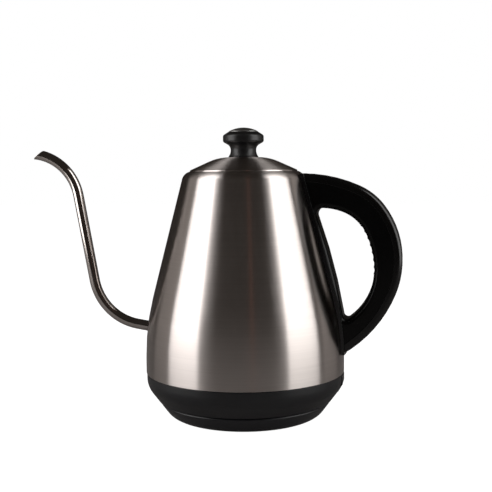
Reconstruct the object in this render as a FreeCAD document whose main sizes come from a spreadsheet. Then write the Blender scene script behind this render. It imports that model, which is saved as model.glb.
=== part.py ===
# Electric gooseneck kettle on its power base.
# Millimetres; +Z up, origin on the vessel's axis at the table, handle toward +X, spout toward -X.

import FreeCAD, Part
import math
import os
import re

import Sketcher

# Driving dimensions: name, value, meaning.
SIZES = [
    ("foot_drop", 1.0, "rubber foot ring below the power base"),
    ("base_height", 14.2, "top edge of the power base above the table"),
    ("base_gap", 0.6, "open line between power base and skirt"),
    ("base_wall", 2.2, "moulded wall of the power base"),
    ("base_edge_round", 4.4, "lower outside edge of the power base"),
    ("base_top_round", 1.4, "upper outside edge of the power base"),
    ("seam_inset", 9.0, "cone at the top edge of the power base, inside the steel's outside"),
    ("cone_lean", 36.6, "cone of base and skirt, degrees from upright"),
    ("plate_thickness", 2.2, "bottom plate of the power base"),
    ("foot_inset", 12.0, "middle line of the foot ring inside the bottom plate's edge"),
    ("foot_width", 8.0, "rubber of the foot ring, across"),
    ("foot_pocket", 0.8, "depth of the groove that the foot ring sits in"),
    ("base_screw_circle", 27.0, "circle of the power base's screws"),
    ("inlet_radius", 3.6, "cord inlet in the back of the power base"),
    ("hub_radius", 13.0, "connector hub of the power base"),
    ("hub_rise", 13.5, "hub above the top of the power base"),
    ("hub_flange", 17.0, "flange that holds the hub under the base"),
    ("slot_depth", 10.0, "contact slots in the hub"),
    ("pin_radius", 2.0, "centre pin of the connector"),
    ("inner_ring_radius", 5.8, "middle line of the inner contact ring"),
    ("outer_ring_radius", 9.6, "middle line of the outer contact ring"),
    ("ring_wall", 0.8, "contact rings, wall"),
    ("contact_gap", 0.5, "room beside each contact in its slot"),
    ("skirt_height", 21.6, "black skirt, bottom edge to steel edge"),
    ("skirt_wall", 2.4, "moulded wall of the skirt"),
    ("skirt_round", 16.0, "curve between the skirt's cone and its upright rim"),
    ("skirt_inset", 0.1, "skirt rim inside the steel's outside"),
    ("tongue_height", 3.0, "skirt tongue inside the steel wall"),
    ("flange_width", 13.0, "screw flange inside the skirt's wall"),
    ("flange_lift", 2.6, "screw flange above the skirt's bottom edge"),
    ("cover_opening", 26.0, "opening in the bottom cover, radius"),
    ("cover_screw_inset", 4.5, "bottom cover's screws from the flange's inner edge"),
    ("vessel_radius", 77.6, "steel vessel outside, at the foot"),
    ("vessel_wall", 0.8, "steel sheet"),
    ("upright_height", 11.5, "upright part of the steel wall"),
    ("belly_arc", 186.0, "large arc between upright wall and cone"),
    ("wall_lean", 14.6, "steel cone, degrees from upright"),
    ("cone_height", 151.7, "steel edge to the start of the shoulder round"),
    ("shoulder_round", 3.5, "shoulder edge"),
    ("lid_slope", 25.0, "shoulder and lid, degrees from level"),
    ("shoulder_width", 5.3, "end of the cone to the recess that takes the lid"),
    ("seat_drop", 1.8, "depth of that recess"),
    ("seat_width", 4.0, "edge of that recess to the inside of the mouth's neck"),
    ("neck_depth", 7.0, "neck below the lid seat"),
    ("floor_lift", 7.5, "inside floor above the steel's lower edge"),
    ("floor_rim", 3.2, "turned-down rim of the floor"),
    ("heat_plate_inset", 15.6, "edge of the heat plate inside the steel's outside"),
    ("heat_plate_thickness", 4.0, "aluminium heat plate"),
    ("element_inset", 12.0, "middle line of the heating element inside the plate's edge"),
    ("element_radius", 3.3, "sheath of the heating element"),
    ("element_span", 300.0, "part of a full turn that the element covers"),
    ("tail_radius", 2.2, "cold tails of the element"),
    ("tail_length", 9.0, "cold tails below the sheath"),
    ("controller_radius", 21.0, "control housing"),
    ("controller_flange", 31.0, "flange of the control housing"),
    ("controller_flange_thickness", 3.0, "flange of the control housing"),
    ("controller_screw_circle", 26.5, "screws of the control housing"),
    ("trip_gap", 5.1, "trip arm's end from the switch"),
    ("screw_radius", 1.5, "shank of the housing screws"),
    ("screw_head_radius", 2.8, "head of the housing screws"),
    ("screw_head_height", 1.6, "head of the housing screws"),
    ("fit_gap", 0.1, "pieces laid against each other"),
    ("slip_gap", 0.3, "pieces that move past each other"),
    ("run_gap", 0.05, "pin in its bearing"),
    ("spout_height", 31.5, "spout port above the steel's lower edge"),
    ("spout_radius", 4.0, "spout tube outside"),
    ("spout_wall", 0.6, "spout tube"),
    ("spout_rise", 8.1, "rise of the spout at the wall, degrees"),
    ("spout_root", 12.2, "straight start of the spout"),
    ("spout_low_arc", 43.3, "lower bend of the spout"),
    ("spout_low_turn", 71.9, "lower bend of the spout, degrees"),
    ("spout_straight", 68.3, "straight part of the spout"),
    ("spout_high_arc", 41.3, "upper bend of the spout"),
    ("spout_high_turn", 72.0, "upper bend of the spout, degrees"),
    ("lip_slant", 44.0, "mouth of the spout, degrees from a square cut"),
    ("lip_back", 4.0, "middle of the mouth behind the tube's end"),
    ("lid_rim_height", 2.6, "upright rim of the lid"),
    ("lid_rim_round", 1.0, "bead on the lid's rim"),
    ("lid_lean", 24.2, "lid cone, degrees from level"),
    ("lid_crown_arc", 38.0, "curve between the lid's cone and its middle"),
    ("lid_flat_radius", 11.5, "level middle of the lid"),
    ("lid_ring_depth", 9.0, "plug ring of the lid below its seat"),
    ("lid_ring_wall", 0.7, "plug ring of the lid"),
    ("seal_height", 4.0, "silicone seal on the plug ring"),
    ("seal_wall", 1.3, "silicone seal on the plug ring"),
    ("vent_radius", 1.6, "steam vent in the lid"),
    ("vent_inset", 12.0, "steam vent inside the lid's recess"),
    ("knob_foot_radius", 12.0, "knob at the lid"),
    ("knob_neck_radius", 10.1, "waist of the knob"),
    ("knob_radius", 15.9, "grip of the knob"),
    ("knob_neck_height", 5.8, "waist above the lid"),
    ("knob_flare_height", 10.6, "lower edge of the grip above the lid"),
    ("knob_edge_height", 17.0, "upper edge of the grip above the lid"),
    ("knob_edge_round", 0.8, "rounded edges of the grip"),
    ("knob_height", 19.2, "top of the moulded knob above the lid"),
    ("knob_cap_radius", 11.6, "polished cap of the knob"),
    ("knob_cap_rise", 3.0, "dome of the cap"),
    ("knob_recess", 1.6, "recess that the cap sits in"),
    ("knob_peg_radius", 3.4, "peg of the cap"),
    ("knob_peg_depth", 4.0, "peg of the cap"),
    ("knob_screw_radius", 2.0, "screw of the knob"),
    ("knob_screw_reach", 9.0, "screw of the knob above the lid"),
    ("washer_radius", 6.0, "washer below the knob"),
    ("washer_thickness", 1.0, "washer below the knob"),
    ("handle_width", 24.0, "loop of the handle, side to side"),
    ("handle_round", 4.0, "rounded edges of the loop"),
    ("handle_top", 1.8, "loop's top above the start of the shoulder round"),
    ("handle_inset", 9.3, "start of the loop's outline inside the end of the cone"),
    ("crown_flat", 8.7, "level start of the loop's outline"),
    ("crown_arc", 96.0, "loop's outline over the top"),
    ("crown_turn", 29.5, "that arc, degrees"),
    ("knuckle_arc", 40.0, "loop's outline at the upper knuckle"),
    ("knuckle_turn", 15.7, "that arc, degrees"),
    ("palm_arc", 62.0, "loop's outline behind the palm"),
    ("palm_turn", 44.8, "that arc, degrees"),
    ("heel_arc", 92.0, "loop's outline down to the foot"),
    ("heel_turn", 66.0, "that arc, degrees"),
    ("cover_thickness", 6.4, "outer cover of the handle"),
    ("window_drop", 54.1, "start of the finger window below the shoulder round"),
    ("window_inset", 2.6, "start of the finger window inside the end of the cone"),
    ("window_entry", 61.0, "first line of the window, degrees above level"),
    ("window_entry_length", 30.0, "first line of the window"),
    ("window_exit_length", 40.0, "last line of the window"),
    ("window_corner_arc", 5.0, "upper corner of the window"),
    ("window_corner_turn", 65.0, "that arc, degrees"),
    ("window_top_arc", 50.4, "top of the window"),
    ("window_top_turn", 19.6, "that arc, degrees"),
    ("window_knuckle_arc", 30.0, "window at the upper knuckle"),
    ("window_knuckle_turn", 44.7, "that arc, degrees"),
    ("grip_arc", 79.0, "window along the grip"),
    ("grip_turn", 23.5, "that arc, degrees"),
    ("window_heel_arc", 37.2, "window below the grip"),
    ("window_heel_turn", 60.7, "that arc, degrees"),
    ("window_toe_arc", 3.0, "lower corner of the window"),
    ("window_toe_turn", 85.0, "that arc, degrees"),
    ("insert_width", 19.0, "soft grip insert, side to side"),
    ("insert_depth", 2.2, "soft grip insert in its pocket"),
    ("insert_proud", 1.0, "soft grip insert above the loop"),
    ("scallop_pitch", 4.0, "finger scallops of the insert"),
    ("scallop_radius", 4.2, "one scallop"),
    ("scallop_depth", 0.5, "one scallop"),
    ("spine_width", 27.0, "spine strip on the wall"),
    ("spine_thickness", 2.4, "spine strip on the wall"),
    ("spine_sweep", 60.0, "turn that the strip is cut from, degrees"),
    ("spine_bottom", 9.0, "spine's lower end above the steel edge"),
    ("stud_radius", 4.5, "steel studs that carry the handle"),
    ("upper_stud_drop", 14.0, "upper stud below the shoulder round"),
    ("lower_stud_drop", 117.2, "lower stud below the shoulder round"),
    ("stud_reach", 3.6, "studs beyond the spine"),
    ("stud_seat", 3.2, "handle wall between stud and screw head"),
    ("handle_screw_radius", 1.8, "handle screws"),
    ("handle_screw_length", 8.5, "handle screws"),
    ("handle_screw_head_radius", 3.4, "handle screws"),
    ("handle_screw_head_height", 2.2, "handle screws"),
    ("switch_pivot_inset", 9.0, "switch pivot inside the steel's outside"),
    ("switch_pivot_drop", 8.0, "switch pivot below the steel's lower edge"),
    ("switch_pin_radius", 1.25, "pivot pin of the switch"),
    ("switch_hub_radius", 3.0, "switch lever around its pin"),
    ("switch_width", 19.0, "switch lever, side to side"),
    ("switch_proud", 3.2, "switch paddle beyond the steel's outside"),
    ("switch_paddle_height", 9.0, "switch paddle"),
    ("switch_arm", 10.5, "inner arm of the switch"),
    ("switch_side_gap", 0.6, "room beside the switch in its slot"),
    ("switch_slot_room", 3.2, "slot above and below the paddle"),
    ("lug_thickness", 3.0, "lugs that hold the switch pin"),
]

doc = FreeCAD.newDocument("GooseneckKettle")
sheet = doc.addObject("Spreadsheet::Sheet", "Sizes")
for row, (size_name, size_value, size_meaning) in enumerate(SIZES, start=1):
    sheet.set(f"A{row}", size_name)
    sheet.set(f"B{row}", str(size_value))
    sheet.setAlias(f"B{row}", size_name)
    sheet.set(f"C{row}", size_meaning)
doc.recompute()

NODES = []


# Helpers for formulas

def number(formula):
    """The value of a formula of named sizes."""
    value = sheet.evalExpression(str(formula))
    return float(getattr(value, "Value", value))


def bound(formula):
    """The formula as an expression that reads the sheet; every size name holds an underscore."""
    return re.sub(r"[a-z]+(?:_[a-z]+)+", r"Sizes.\g<0>", str(formula))


def rule(owner, prop, formula):
    """Bind a property to a formula."""
    owner.setExpression(prop, bound(formula))


# Helpers for bodies and sketches

def new_body(label):
    body = doc.addObject("PartDesign::Body", label)
    body.Label = label
    NODES.append(body)
    return body


def new_sketch(body, name, plane, offset=None):
    """A sketch on one of the body's own planes: XY looks down, XZ from the front, YZ from the handle."""
    sketch = body.newObject("Sketcher::SketchObject", name)
    role = f"{plane}_Plane"
    support = [feature for feature in body.Origin.OriginFeatures if feature.Role == role][0]
    sketch.AttachmentSupport = [(support, "")]
    sketch.MapMode = "FlatFace"
    if offset is not None:
        rule(sketch, "AttachmentOffset.Base.z", offset)
    return sketch


def tilt(sketch, axis, degrees):
    """Lean a sketch about one of its own axes."""
    turn = FreeCAD.Rotation(axis, number(degrees))
    sketch.AttachmentOffset = FreeCAD.Placement(FreeCAD.Vector(0, 0, 0), turn)
    rule(sketch, "AttachmentOffset.Rotation.Angle", degrees)


def constrain(sketch, kind, args, formula):
    """A dimension of the sketch, bound to a formula."""
    value = number(formula)
    if kind == "Angle":
        value = math.radians(value)
    index = sketch.addConstraint(Sketcher.Constraint(kind, *args, value))
    name = f"size_{index}"
    sketch.renameConstraint(index, name)
    rule(sketch, f"Constraints.{name}", formula)


def pin_point(sketch, edge, end, across, up):
    """Fix one end of an edge at formulas measured from the sketch's origin."""
    constrain(sketch, "DistanceX", (-1, 1, edge, end), across)
    constrain(sketch, "DistanceY", (-1, 1, edge, end), up)


def add_arc(sketch, centre, radius, first, last, turn):
    """An arc from first to last; returns the edge and its two ends in travel order."""
    begin, finish = (first, last) if turn == "left" else (last, first)
    angles = [math.atan2(point.y - centre.y, point.x - centre.x) for point in (begin, finish)]
    if angles[1] < angles[0]:
        angles[1] += 2 * math.pi
    circle = Part.Circle(centre, FreeCAD.Vector(0, 0, 1), radius)
    edge = sketch.addGeometry(Part.ArcOfCircle(circle, *angles))
    return (edge, 1, 2) if turn == "left" else (edge, 2, 1)


def outline(sketch, corners):
    """A closed outline. A corner is (across, up), or (across, up, radius, turn) where an arc arrives."""
    points = [FreeCAD.Vector(number(corner[0]), number(corner[1]), 0) for corner in corners]
    edges = []
    for index, corner in enumerate(corners):
        first, last = points[index - 1], points[index]
        if len(corner) == 2:
            edge = sketch.addGeometry(Part.LineSegment(first, last))
            edges.append((edge, 1, 2))
            continue
        radius = number(corner[2])
        chord = last - first
        side = FreeCAD.Vector(-chord.y, chord.x, 0).normalize()
        if corner[3] == "right":
            side = side * -1
        reach = math.sqrt(radius ** 2 - chord.Length ** 2 / 4)
        centre = (first + last) * 0.5 + side * reach
        edges.append(add_arc(sketch, centre, radius, first, last, corner[3]))
        constrain(sketch, "Radius", (edges[-1][0],), corner[2])
    for index, corner in enumerate(corners):
        arriving = edges[index]
        leaving = edges[(index + 1) % len(edges)]
        joint = Sketcher.Constraint("Coincident", arriving[0], arriving[2], leaving[0], leaving[1])
        sketch.addConstraint(joint)
        pin_point(sketch, arriving[0], arriving[2], corner[0], corner[1])


def backward(corners):
    """The same run of corners, drawn in the other direction."""
    other = {"left": "right", "right": "left"}
    run = [corners[-1][:2]]
    for index in range(len(corners) - 1, 0, -1):
        arc = corners[index][2:]
        run.append(corners[index - 1][:2] + ((arc[0], other[arc[1]]) if arc else ()))
    return run


def chain(sketch, across, up, heading, steps):
    """A smooth run of lines and arcs: a step is (length,) or (radius, degrees, turn)."""
    point = FreeCAD.Vector(number(across), number(up), 0)
    angle = math.radians(number(heading))
    run = []
    for step in steps:
        ahead = FreeCAD.Vector(math.cos(angle), math.sin(angle), 0)
        if len(step) == 1:
            last = point + ahead * number(step[0])
            edge = (sketch.addGeometry(Part.LineSegment(point, last)), 1, 2)
            constrain(sketch, "Distance", (edge[0],), step[0])
        else:
            sign = 1 if step[2] == "left" else -1
            centre = point + FreeCAD.Vector(-ahead.y, ahead.x, 0) * sign * number(step[0])
            turned = FreeCAD.Rotation(FreeCAD.Vector(0, 0, 1), sign * number(step[1]))
            last = centre + turned.multVec(point - centre)
            edge = add_arc(sketch, centre, number(step[0]), point, last, step[2])
            constrain(sketch, "Radius", (edge[0],), step[0])
            constrain(sketch, "Angle", (edge[0],), step[1])
            angle += sign * math.radians(number(step[1]))
        if run:
            smooth = Sketcher.Constraint("Tangent", run[-1][0], run[-1][2], edge[0], edge[1])
            sketch.addConstraint(smooth)
        else:
            pin_point(sketch, edge[0], edge[1], across, up)
            constrain(sketch, "Angle", (edge[0],), heading)
        run.append(edge)
        point = last
    return run


def join(sketch, one, one_end, other, other_end):
    """A straight line between two open ends."""
    first = sketch.getPoint(one, one_end)
    last = sketch.getPoint(other, other_end)
    edge = sketch.addGeometry(Part.LineSegment(first, last))
    sketch.addConstraint(Sketcher.Constraint("Coincident", edge, 1, one, one_end))
    sketch.addConstraint(Sketcher.Constraint("Coincident", edge, 2, other, other_end))


def circles(sketch, places, radius):
    """Circles of one radius at (across, up) formulas."""
    for across, up in places:
        centre = FreeCAD.Vector(number(across), number(up), 0)
        edge = sketch.addGeometry(Part.Circle(centre, FreeCAD.Vector(0, 0, 1), number(radius)))
        constrain(sketch, "Radius", (edge,), radius)
        pin_point(sketch, edge, 3, across, up)


def rectangle(sketch, left, right, low, high):
    outline(sketch, [(left, low), (right, low), (right, high), (left, high)])


# Helpers for features

def settle(body, removes=None):
    """Recompute, and stop if a feature failed or a cut took nothing away."""
    doc.recompute()
    for feature in [body] + body.Group:
        if {"Invalid", "Error"} & set(feature.State):
            raise RuntimeError(f"{body.Label}: {feature.Name} failed, {feature.getStatusString()}")
    shape = body.Shape
    if shape.isNull() or not shape.isValid():
        raise RuntimeError(f"{body.Label}: the shape is not valid")
    if removes is not None and shape.Volume > removes - 0.01:
        raise RuntimeError(f"{body.Label}: a cut removed nothing")


def spin(body, corners, degrees=None):
    """Turn an outline, drawn as radius and height, about the axis."""
    sketch = new_sketch(body, "Profile", "XZ")
    outline(sketch, corners)
    turned = body.newObject("PartDesign::Revolution", "Turned")
    turned.Profile = sketch
    turned.ReferenceAxis = (sketch, ["V_Axis"])
    turned.Angle = 360
    if degrees is not None:
        turned.Midplane = True
        rule(turned, "Angle", degrees)
    settle(body)
    return turned


def spin_cut(body, corners):
    before = body.Shape.Volume
    sketch = new_sketch(body, "CutProfile", "XZ")
    outline(sketch, corners)
    groove = body.newObject("PartDesign::Groove", "TurnedCut")
    groove.Profile = sketch
    groove.ReferenceAxis = (sketch, ["V_Axis"])
    groove.Angle = 360
    settle(body, before)
    return groove


def pad(body, sketch, length, middle=False, back=False):
    feature = body.newObject("PartDesign::Pad", "Pad")
    feature.Profile = sketch
    feature.Midplane = middle
    feature.Reversed = back
    rule(feature, "Length", length)
    settle(body)
    return feature


def cut(body, sketch, length, middle=False, back=False):
    """Remove a sketch's area; it goes against the sketch's own direction unless sent back."""
    before = body.Shape.Volume
    feature = body.newObject("PartDesign::Pocket", "Cut")
    feature.Profile = sketch
    feature.Midplane = middle
    feature.Reversed = back
    rule(feature, "Length", length)
    settle(body, before)
    return feature


def repeat(body, features, count):
    """Repeat features evenly about the axis."""
    pattern = body.newObject("PartDesign::PolarPattern", "Around")
    pattern.Originals = features
    pattern.Axis = (features[0].Profile[0], ["N_Axis"])
    pattern.Angle = 360
    pattern.Occurrences = count
    body.Tip = pattern
    settle(body)
    return pattern


def round_edges(body, feature, radius, wanted):
    """Round the edges of a feature that the test picks."""
    names = [f"Edge{i}" for i, edge in enumerate(feature.Shape.Edges, start=1) if wanted(edge)]
    fillet = body.newObject("PartDesign::Fillet", "Round")
    fillet.Base = (feature, names)
    rule(fillet, "Radius", radius)
    settle(body)
    return fillet


def on_circle(radius):
    """A test for full circles of one radius about the axis."""
    def wanted(edge):
        round_edge = isinstance(edge.Curve, Part.Circle)
        return round_edge and abs(edge.Curve.Radius - number(radius)) < 0.001
    return wanted


def flat_edges(width, radii):
    """A test for edges on the handle's flat sides that are arcs of the given radii."""
    wanted_radii = [number(radius) for radius in radii]
    side = number(width) / 2

    def wanted(edge):
        on_side = all(abs(abs(vertex.Y) - side) < 0.001 for vertex in edge.Vertexes)
        if not on_side or not isinstance(edge.Curve, Part.Circle):
            return False
        return any(abs(edge.Curve.Radius - radius) < 0.001 for radius in wanted_radii)
    return wanted


# Shared heights and radii
SKIRT_FOOT = "(base_height + base_gap)"
STEEL_FOOT = f"({SKIRT_FOOT} + skirt_height)"
BELLY_HEIGHT = f"({STEEL_FOOT} + upright_height)"
CONE_TOP = f"({STEEL_FOOT} + cone_height)"
BELLY_CENTRE = "(vessel_radius - belly_arc)"
STEEL_INSIDE = "(vessel_radius - vessel_wall)"
FLOOR = f"({STEEL_FOOT} + floor_lift)"
PLATE_BOTTOM = f"({FLOOR} - vessel_wall - heat_plate_thickness)"
HUB_TOP = "(base_height + hub_rise)"
SEAM_RADIUS = "(vessel_radius - seam_inset)"


def wall_radius(height, skin):
    """Radius of the steel cone at a height, moved outward by skin."""
    level = f"({BELLY_HEIGHT} + (belly_arc + {skin}) * sin(wall_lean))"
    radius = f"({BELLY_CENTRE} + (belly_arc + {skin}) * cos(wall_lean))"
    return f"({radius} - ({height} - {level}) * tan(wall_lean))"


CONE_EDGE = wall_radius(CONE_TOP, "0")


def wall_side(skin, low, high):
    """Corners of the vessel's side from low to high, moved outward by skin."""
    return [
        (f"vessel_radius + {skin}", low),
        (f"vessel_radius + {skin}", BELLY_HEIGHT),
        (
            f"{BELLY_CENTRE} + (belly_arc + {skin}) * cos(wall_lean)",
            f"{BELLY_HEIGHT} + (belly_arc + {skin}) * sin(wall_lean)",
            f"belly_arc + {skin}",
            "left",
        ),
        (wall_radius(high, skin), high),
    ]


def behind_wall(skin):
    """A closed outline of the room that the vessel takes up, for cutting pieces laid on its wall."""
    top = f"({CONE_TOP} + shoulder_round * 4)"
    side = wall_side(skin, "base_height", top)
    return [("0", "base_height")] + side + [("0", top)]


def cone_radius(height, skin):
    """Radius of the black cone at a height, moved outward by skin."""
    return f"({SEAM_RADIUS} + ({height} - base_height) * tan(cone_lean) + ({skin}) / cos(cone_lean))"


# Power base

def ring_of_screws(body, circle, head_low, tip):
    """Three screws that point up, with their heads at head_low."""
    heads = new_sketch(body, "Heads", "XY", head_low)
    circles(heads, [(circle, "0")], "screw_head_radius")
    head = pad(body, heads, "screw_head_height")
    shanks = new_sketch(body, "Shanks", "XY", head_low)
    circles(shanks, [(circle, "0")], "screw_radius")
    shank = pad(body, shanks, f"{tip} - {head_low}")
    repeat(body, [head, shank], 3)


def screw_holes(body, circle, low, height, radius):
    """Three holes or pockets upward from low."""
    sketch = new_sketch(body, "ScrewHole", "XY", low)
    circles(sketch, [(circle, "0")], radius)
    hole = cut(body, sketch, height, back=True)
    repeat(body, [hole], 3)


PLATE_LOW = "foot_drop"
PLATE_HIGH = "(foot_drop + plate_thickness)"
PLATE_RADIUS = f"({cone_radius(PLATE_LOW, '-base_wall')} - fit_gap)"
BASE_CEILING = "(base_height - base_wall)"
FOOT_CIRCLE = f"({PLATE_RADIUS} - foot_inset)"


def base_housing():
    body = new_body("base_housing")
    low = "foot_drop"
    edge = "base_edge_round * tan(45 - cone_lean / 2)"
    top = "base_top_round * tan(45 + cone_lean / 2)"
    spin(body, [
        ("hub_radius + fit_gap", BASE_CEILING),
        (cone_radius(BASE_CEILING, "-base_wall"), BASE_CEILING),
        (cone_radius(low, "-base_wall"), low),
        (f"{cone_radius(low, '0')} - {edge}", low),
        (f"{cone_radius(low, '0')} + {edge} * sin(cone_lean)", f"{low} + {edge} * cos(cone_lean)",
         "base_edge_round", "left"),
        (f"{SEAM_RADIUS} - {top} * sin(cone_lean)", f"base_height - {top} * cos(cone_lean)"),
        (f"{SEAM_RADIUS} - {top}", "base_height", "base_top_round", "left"),
        ("hub_radius + fit_gap", "base_height"),
    ])
    posts = new_sketch(body, "Posts", "XY", BASE_CEILING)
    circles(posts, [("base_screw_circle", "0")], "screw_head_radius + base_wall / 2")
    post = pad(body, posts, f"{BASE_CEILING} - {PLATE_HIGH} - fit_gap", back=True)
    repeat(body, [post], 3)
    screw_holes(body, "base_screw_circle", PLATE_HIGH, "base_height * 0.45", "screw_radius + run_gap")
    inlet = new_sketch(body, "Inlet", "XZ")
    circles(inlet, [("0", f"({PLATE_HIGH} + {BASE_CEILING}) / 2")], "inlet_radius")
    cut(body, inlet, f"{SEAM_RADIUS} + base_wall")


def foot_outline(skin, low):
    """The foot ring's section up to the bottom of its groove, made wider on each side by skin."""
    half = f"(foot_width / 2 + {skin})"
    top = f"({PLATE_LOW} + foot_pocket + {skin})"
    return [
        (f"{FOOT_CIRCLE} - {half}", low),
        (f"{FOOT_CIRCLE} + {half}", low),
        (f"{FOOT_CIRCLE} + {half}", top),
        (f"{FOOT_CIRCLE} - {half}", top),
    ]


def base_plate():
    body = new_body("base_plate")
    spin(body, [
        ("0", PLATE_LOW),
        (PLATE_RADIUS, PLATE_LOW),
        (PLATE_RADIUS, PLATE_HIGH),
        ("0", PLATE_HIGH),
    ])
    screw_holes(body, "base_screw_circle", PLATE_LOW, "plate_thickness", "screw_radius + fit_gap")
    screw_holes(body, "base_screw_circle", PLATE_LOW, "screw_head_height", "screw_head_radius + fit_gap")
    spin_cut(body, foot_outline("fit_gap", PLATE_LOW))


def foot_ring():
    spin(new_body("foot_ring"), foot_outline("0", "0"))


def base_screws():
    body = new_body("base_screws")
    ring_of_screws(body, "base_screw_circle", PLATE_LOW, f"({PLATE_HIGH} + base_height * 0.4)")


def base_hub():
    body = new_body("base_hub")
    flange_top = f"({BASE_CEILING} - fit_gap)"
    spin(body, [
        ("0", f"{PLATE_HIGH} + fit_gap"),
        ("hub_flange", f"{PLATE_HIGH} + fit_gap"),
        ("hub_flange", flange_top),
        ("hub_radius", flange_top),
        ("hub_radius", f"{HUB_TOP} - base_top_round"),
        ("hub_radius - base_top_round", HUB_TOP, "base_top_round", "left"),
        ("0", HUB_TOP),
    ])
    slot = f"({HUB_TOP} - slot_depth)"
    spin_cut(body, [
        ("0", slot),
        ("pin_radius + contact_gap", slot),
        ("pin_radius + contact_gap", f"{HUB_TOP} + contact_gap"),
        ("0", f"{HUB_TOP} + contact_gap"),
    ])
    for ring in ("inner_ring_radius", "outer_ring_radius"):
        half = "(ring_wall / 2 + contact_gap)"
        spin_cut(body, [
            (f"{ring} - {half}", slot),
            (f"{ring} + {half}", slot),
            (f"{ring} + {half}", f"{HUB_TOP} + contact_gap"),
            (f"{ring} - {half}", f"{HUB_TOP} + contact_gap"),
        ])


def contacts(label, low, height):
    """The connector's centre pin and its two rings."""
    body = new_body(label)
    sketch = new_sketch(body, "Contacts", "XY", low)
    radii = ["pin_radius"]
    for ring in ("inner_ring_radius", "outer_ring_radius"):
        radii += [f"{ring} - ring_wall / 2", f"{ring} + ring_wall / 2"]
    for radius in radii:
        circles(sketch, [("0", "0")], radius)
    pad(body, sketch, height)


def hub_contacts():
    contacts("hub_contacts", f"({HUB_TOP} - slot_depth)", "contact_gap * 2")


# Skirt and controls

def skirt_side(skin, low, high):
    """Corners of the skirt's side from low to high, moved outward by skin."""
    rim = "(vessel_radius - skirt_inset)"
    level = f"(base_height + ({rim} - {SEAM_RADIUS}) / tan(cone_lean) + skirt_round * tan(cone_lean / 2))"
    return [
        (cone_radius(low, skin), low),
        (
            f"{rim} - skirt_round + (skirt_round + {skin}) * cos(cone_lean)",
            f"{level} - (skirt_round + {skin}) * sin(cone_lean)",
        ),
        (f"{rim} + {skin}", level, f"skirt_round + {skin}", "left"),
        (f"{rim} + {skin}", high),
    ]


FLANGE_LOW = f"({SKIRT_FOOT} + flange_lift)"
FLANGE_HIGH = f"({FLANGE_LOW} + skirt_wall)"
FLANGE_INSIDE = f"({cone_radius(FLANGE_LOW, '-skirt_wall')} - flange_width)"
COVER_SCREW_CIRCLE = f"({FLANGE_INSIDE} + cover_screw_inset)"
PIVOT_ACROSS = "(vessel_radius - switch_pivot_inset)"
PIVOT_HEIGHT = f"({STEEL_FOOT} - switch_pivot_drop)"
SLOT_WIDTH = "(switch_width + switch_side_gap * 2)"


def base_skirt():
    body = new_body("base_skirt")
    tongue_top = f"({STEEL_FOOT} + tongue_height)"
    tongue_radius = f"({STEEL_INSIDE} - fit_gap)"
    steel_rest = f"({STEEL_FOOT} - slip_gap)"
    outside = skirt_side("0", SKIRT_FOOT, steel_rest)
    inside = skirt_side("-skirt_wall", FLANGE_HIGH, tongue_top)
    tongue = [(tongue_radius, steel_rest), (tongue_radius, tongue_top)]
    spin(body, outside + tongue + backward(inside) + [
        (FLANGE_INSIDE, FLANGE_HIGH),
        (FLANGE_INSIDE, FLANGE_LOW),
        (cone_radius(FLANGE_LOW, "-skirt_wall"), FLANGE_LOW),
        (cone_radius(SKIRT_FOOT, "-skirt_wall"), SKIRT_FOOT),
    ])
    lugs = new_sketch(body, "Lugs", "XZ")
    half = "(switch_hub_radius + lug_thickness / 2)"
    rectangle(lugs, f"{PIVOT_ACROSS} - {half}", "vessel_radius - skirt_wall - lug_thickness * 0.2",
              f"{PIVOT_HEIGHT} - switch_hub_radius", f"{PIVOT_HEIGHT} + {half}")
    pad(body, lugs, f"{SLOT_WIDTH} + lug_thickness * 2", middle=True)
    slot = new_sketch(body, "Slot", "XZ")
    room = "(switch_paddle_height / 2 + switch_slot_room)"
    rectangle(slot, FLANGE_INSIDE, "vessel_radius + switch_proud",
              f"{PIVOT_HEIGHT} - {room}", f"{PIVOT_HEIGHT} + {room}")
    cut(body, slot, SLOT_WIDTH, middle=True)
    bearing = new_sketch(body, "Bearing", "XZ")
    circles(bearing, [(PIVOT_ACROSS, PIVOT_HEIGHT)], "switch_pin_radius + run_gap")
    cut(body, bearing, f"{SLOT_WIDTH} + lug_thickness * 2", middle=True)
    screw_holes(body, COVER_SCREW_CIRCLE, FLANGE_LOW, "skirt_wall", "screw_radius + run_gap")


COVER_LOW = f"({SKIRT_FOOT} + fit_gap)"
COVER_HIGH = f"({FLANGE_LOW} - fit_gap)"


def bottom_cover():
    body = new_body("bottom_cover")
    edge = f"({cone_radius(SKIRT_FOOT, '-skirt_wall')} - fit_gap)"
    spin(body, [
        ("cover_opening", COVER_LOW),
        (edge, COVER_LOW),
        (edge, COVER_HIGH),
        ("cover_opening", COVER_HIGH),
    ])
    thickness = f"({COVER_HIGH} - {COVER_LOW})"
    screw_holes(body, COVER_SCREW_CIRCLE, COVER_LOW, thickness, "screw_radius + fit_gap")
    screw_holes(body, COVER_SCREW_CIRCLE, COVER_LOW, "screw_head_height", "screw_head_radius + fit_gap")


def cover_screws():
    body = new_body("cover_screws")
    ring_of_screws(body, COVER_SCREW_CIRCLE, COVER_LOW, f"({FLANGE_LOW} + skirt_wall * 0.9)")


CONTROLLER_TOP = f"({PLATE_BOTTOM} - fit_gap)"
CONTROLLER_FLANGE_LOW = f"({CONTROLLER_TOP} - controller_flange_thickness)"
SOCKET_TOP = f"({HUB_TOP} + slip_gap * 4)"


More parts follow.
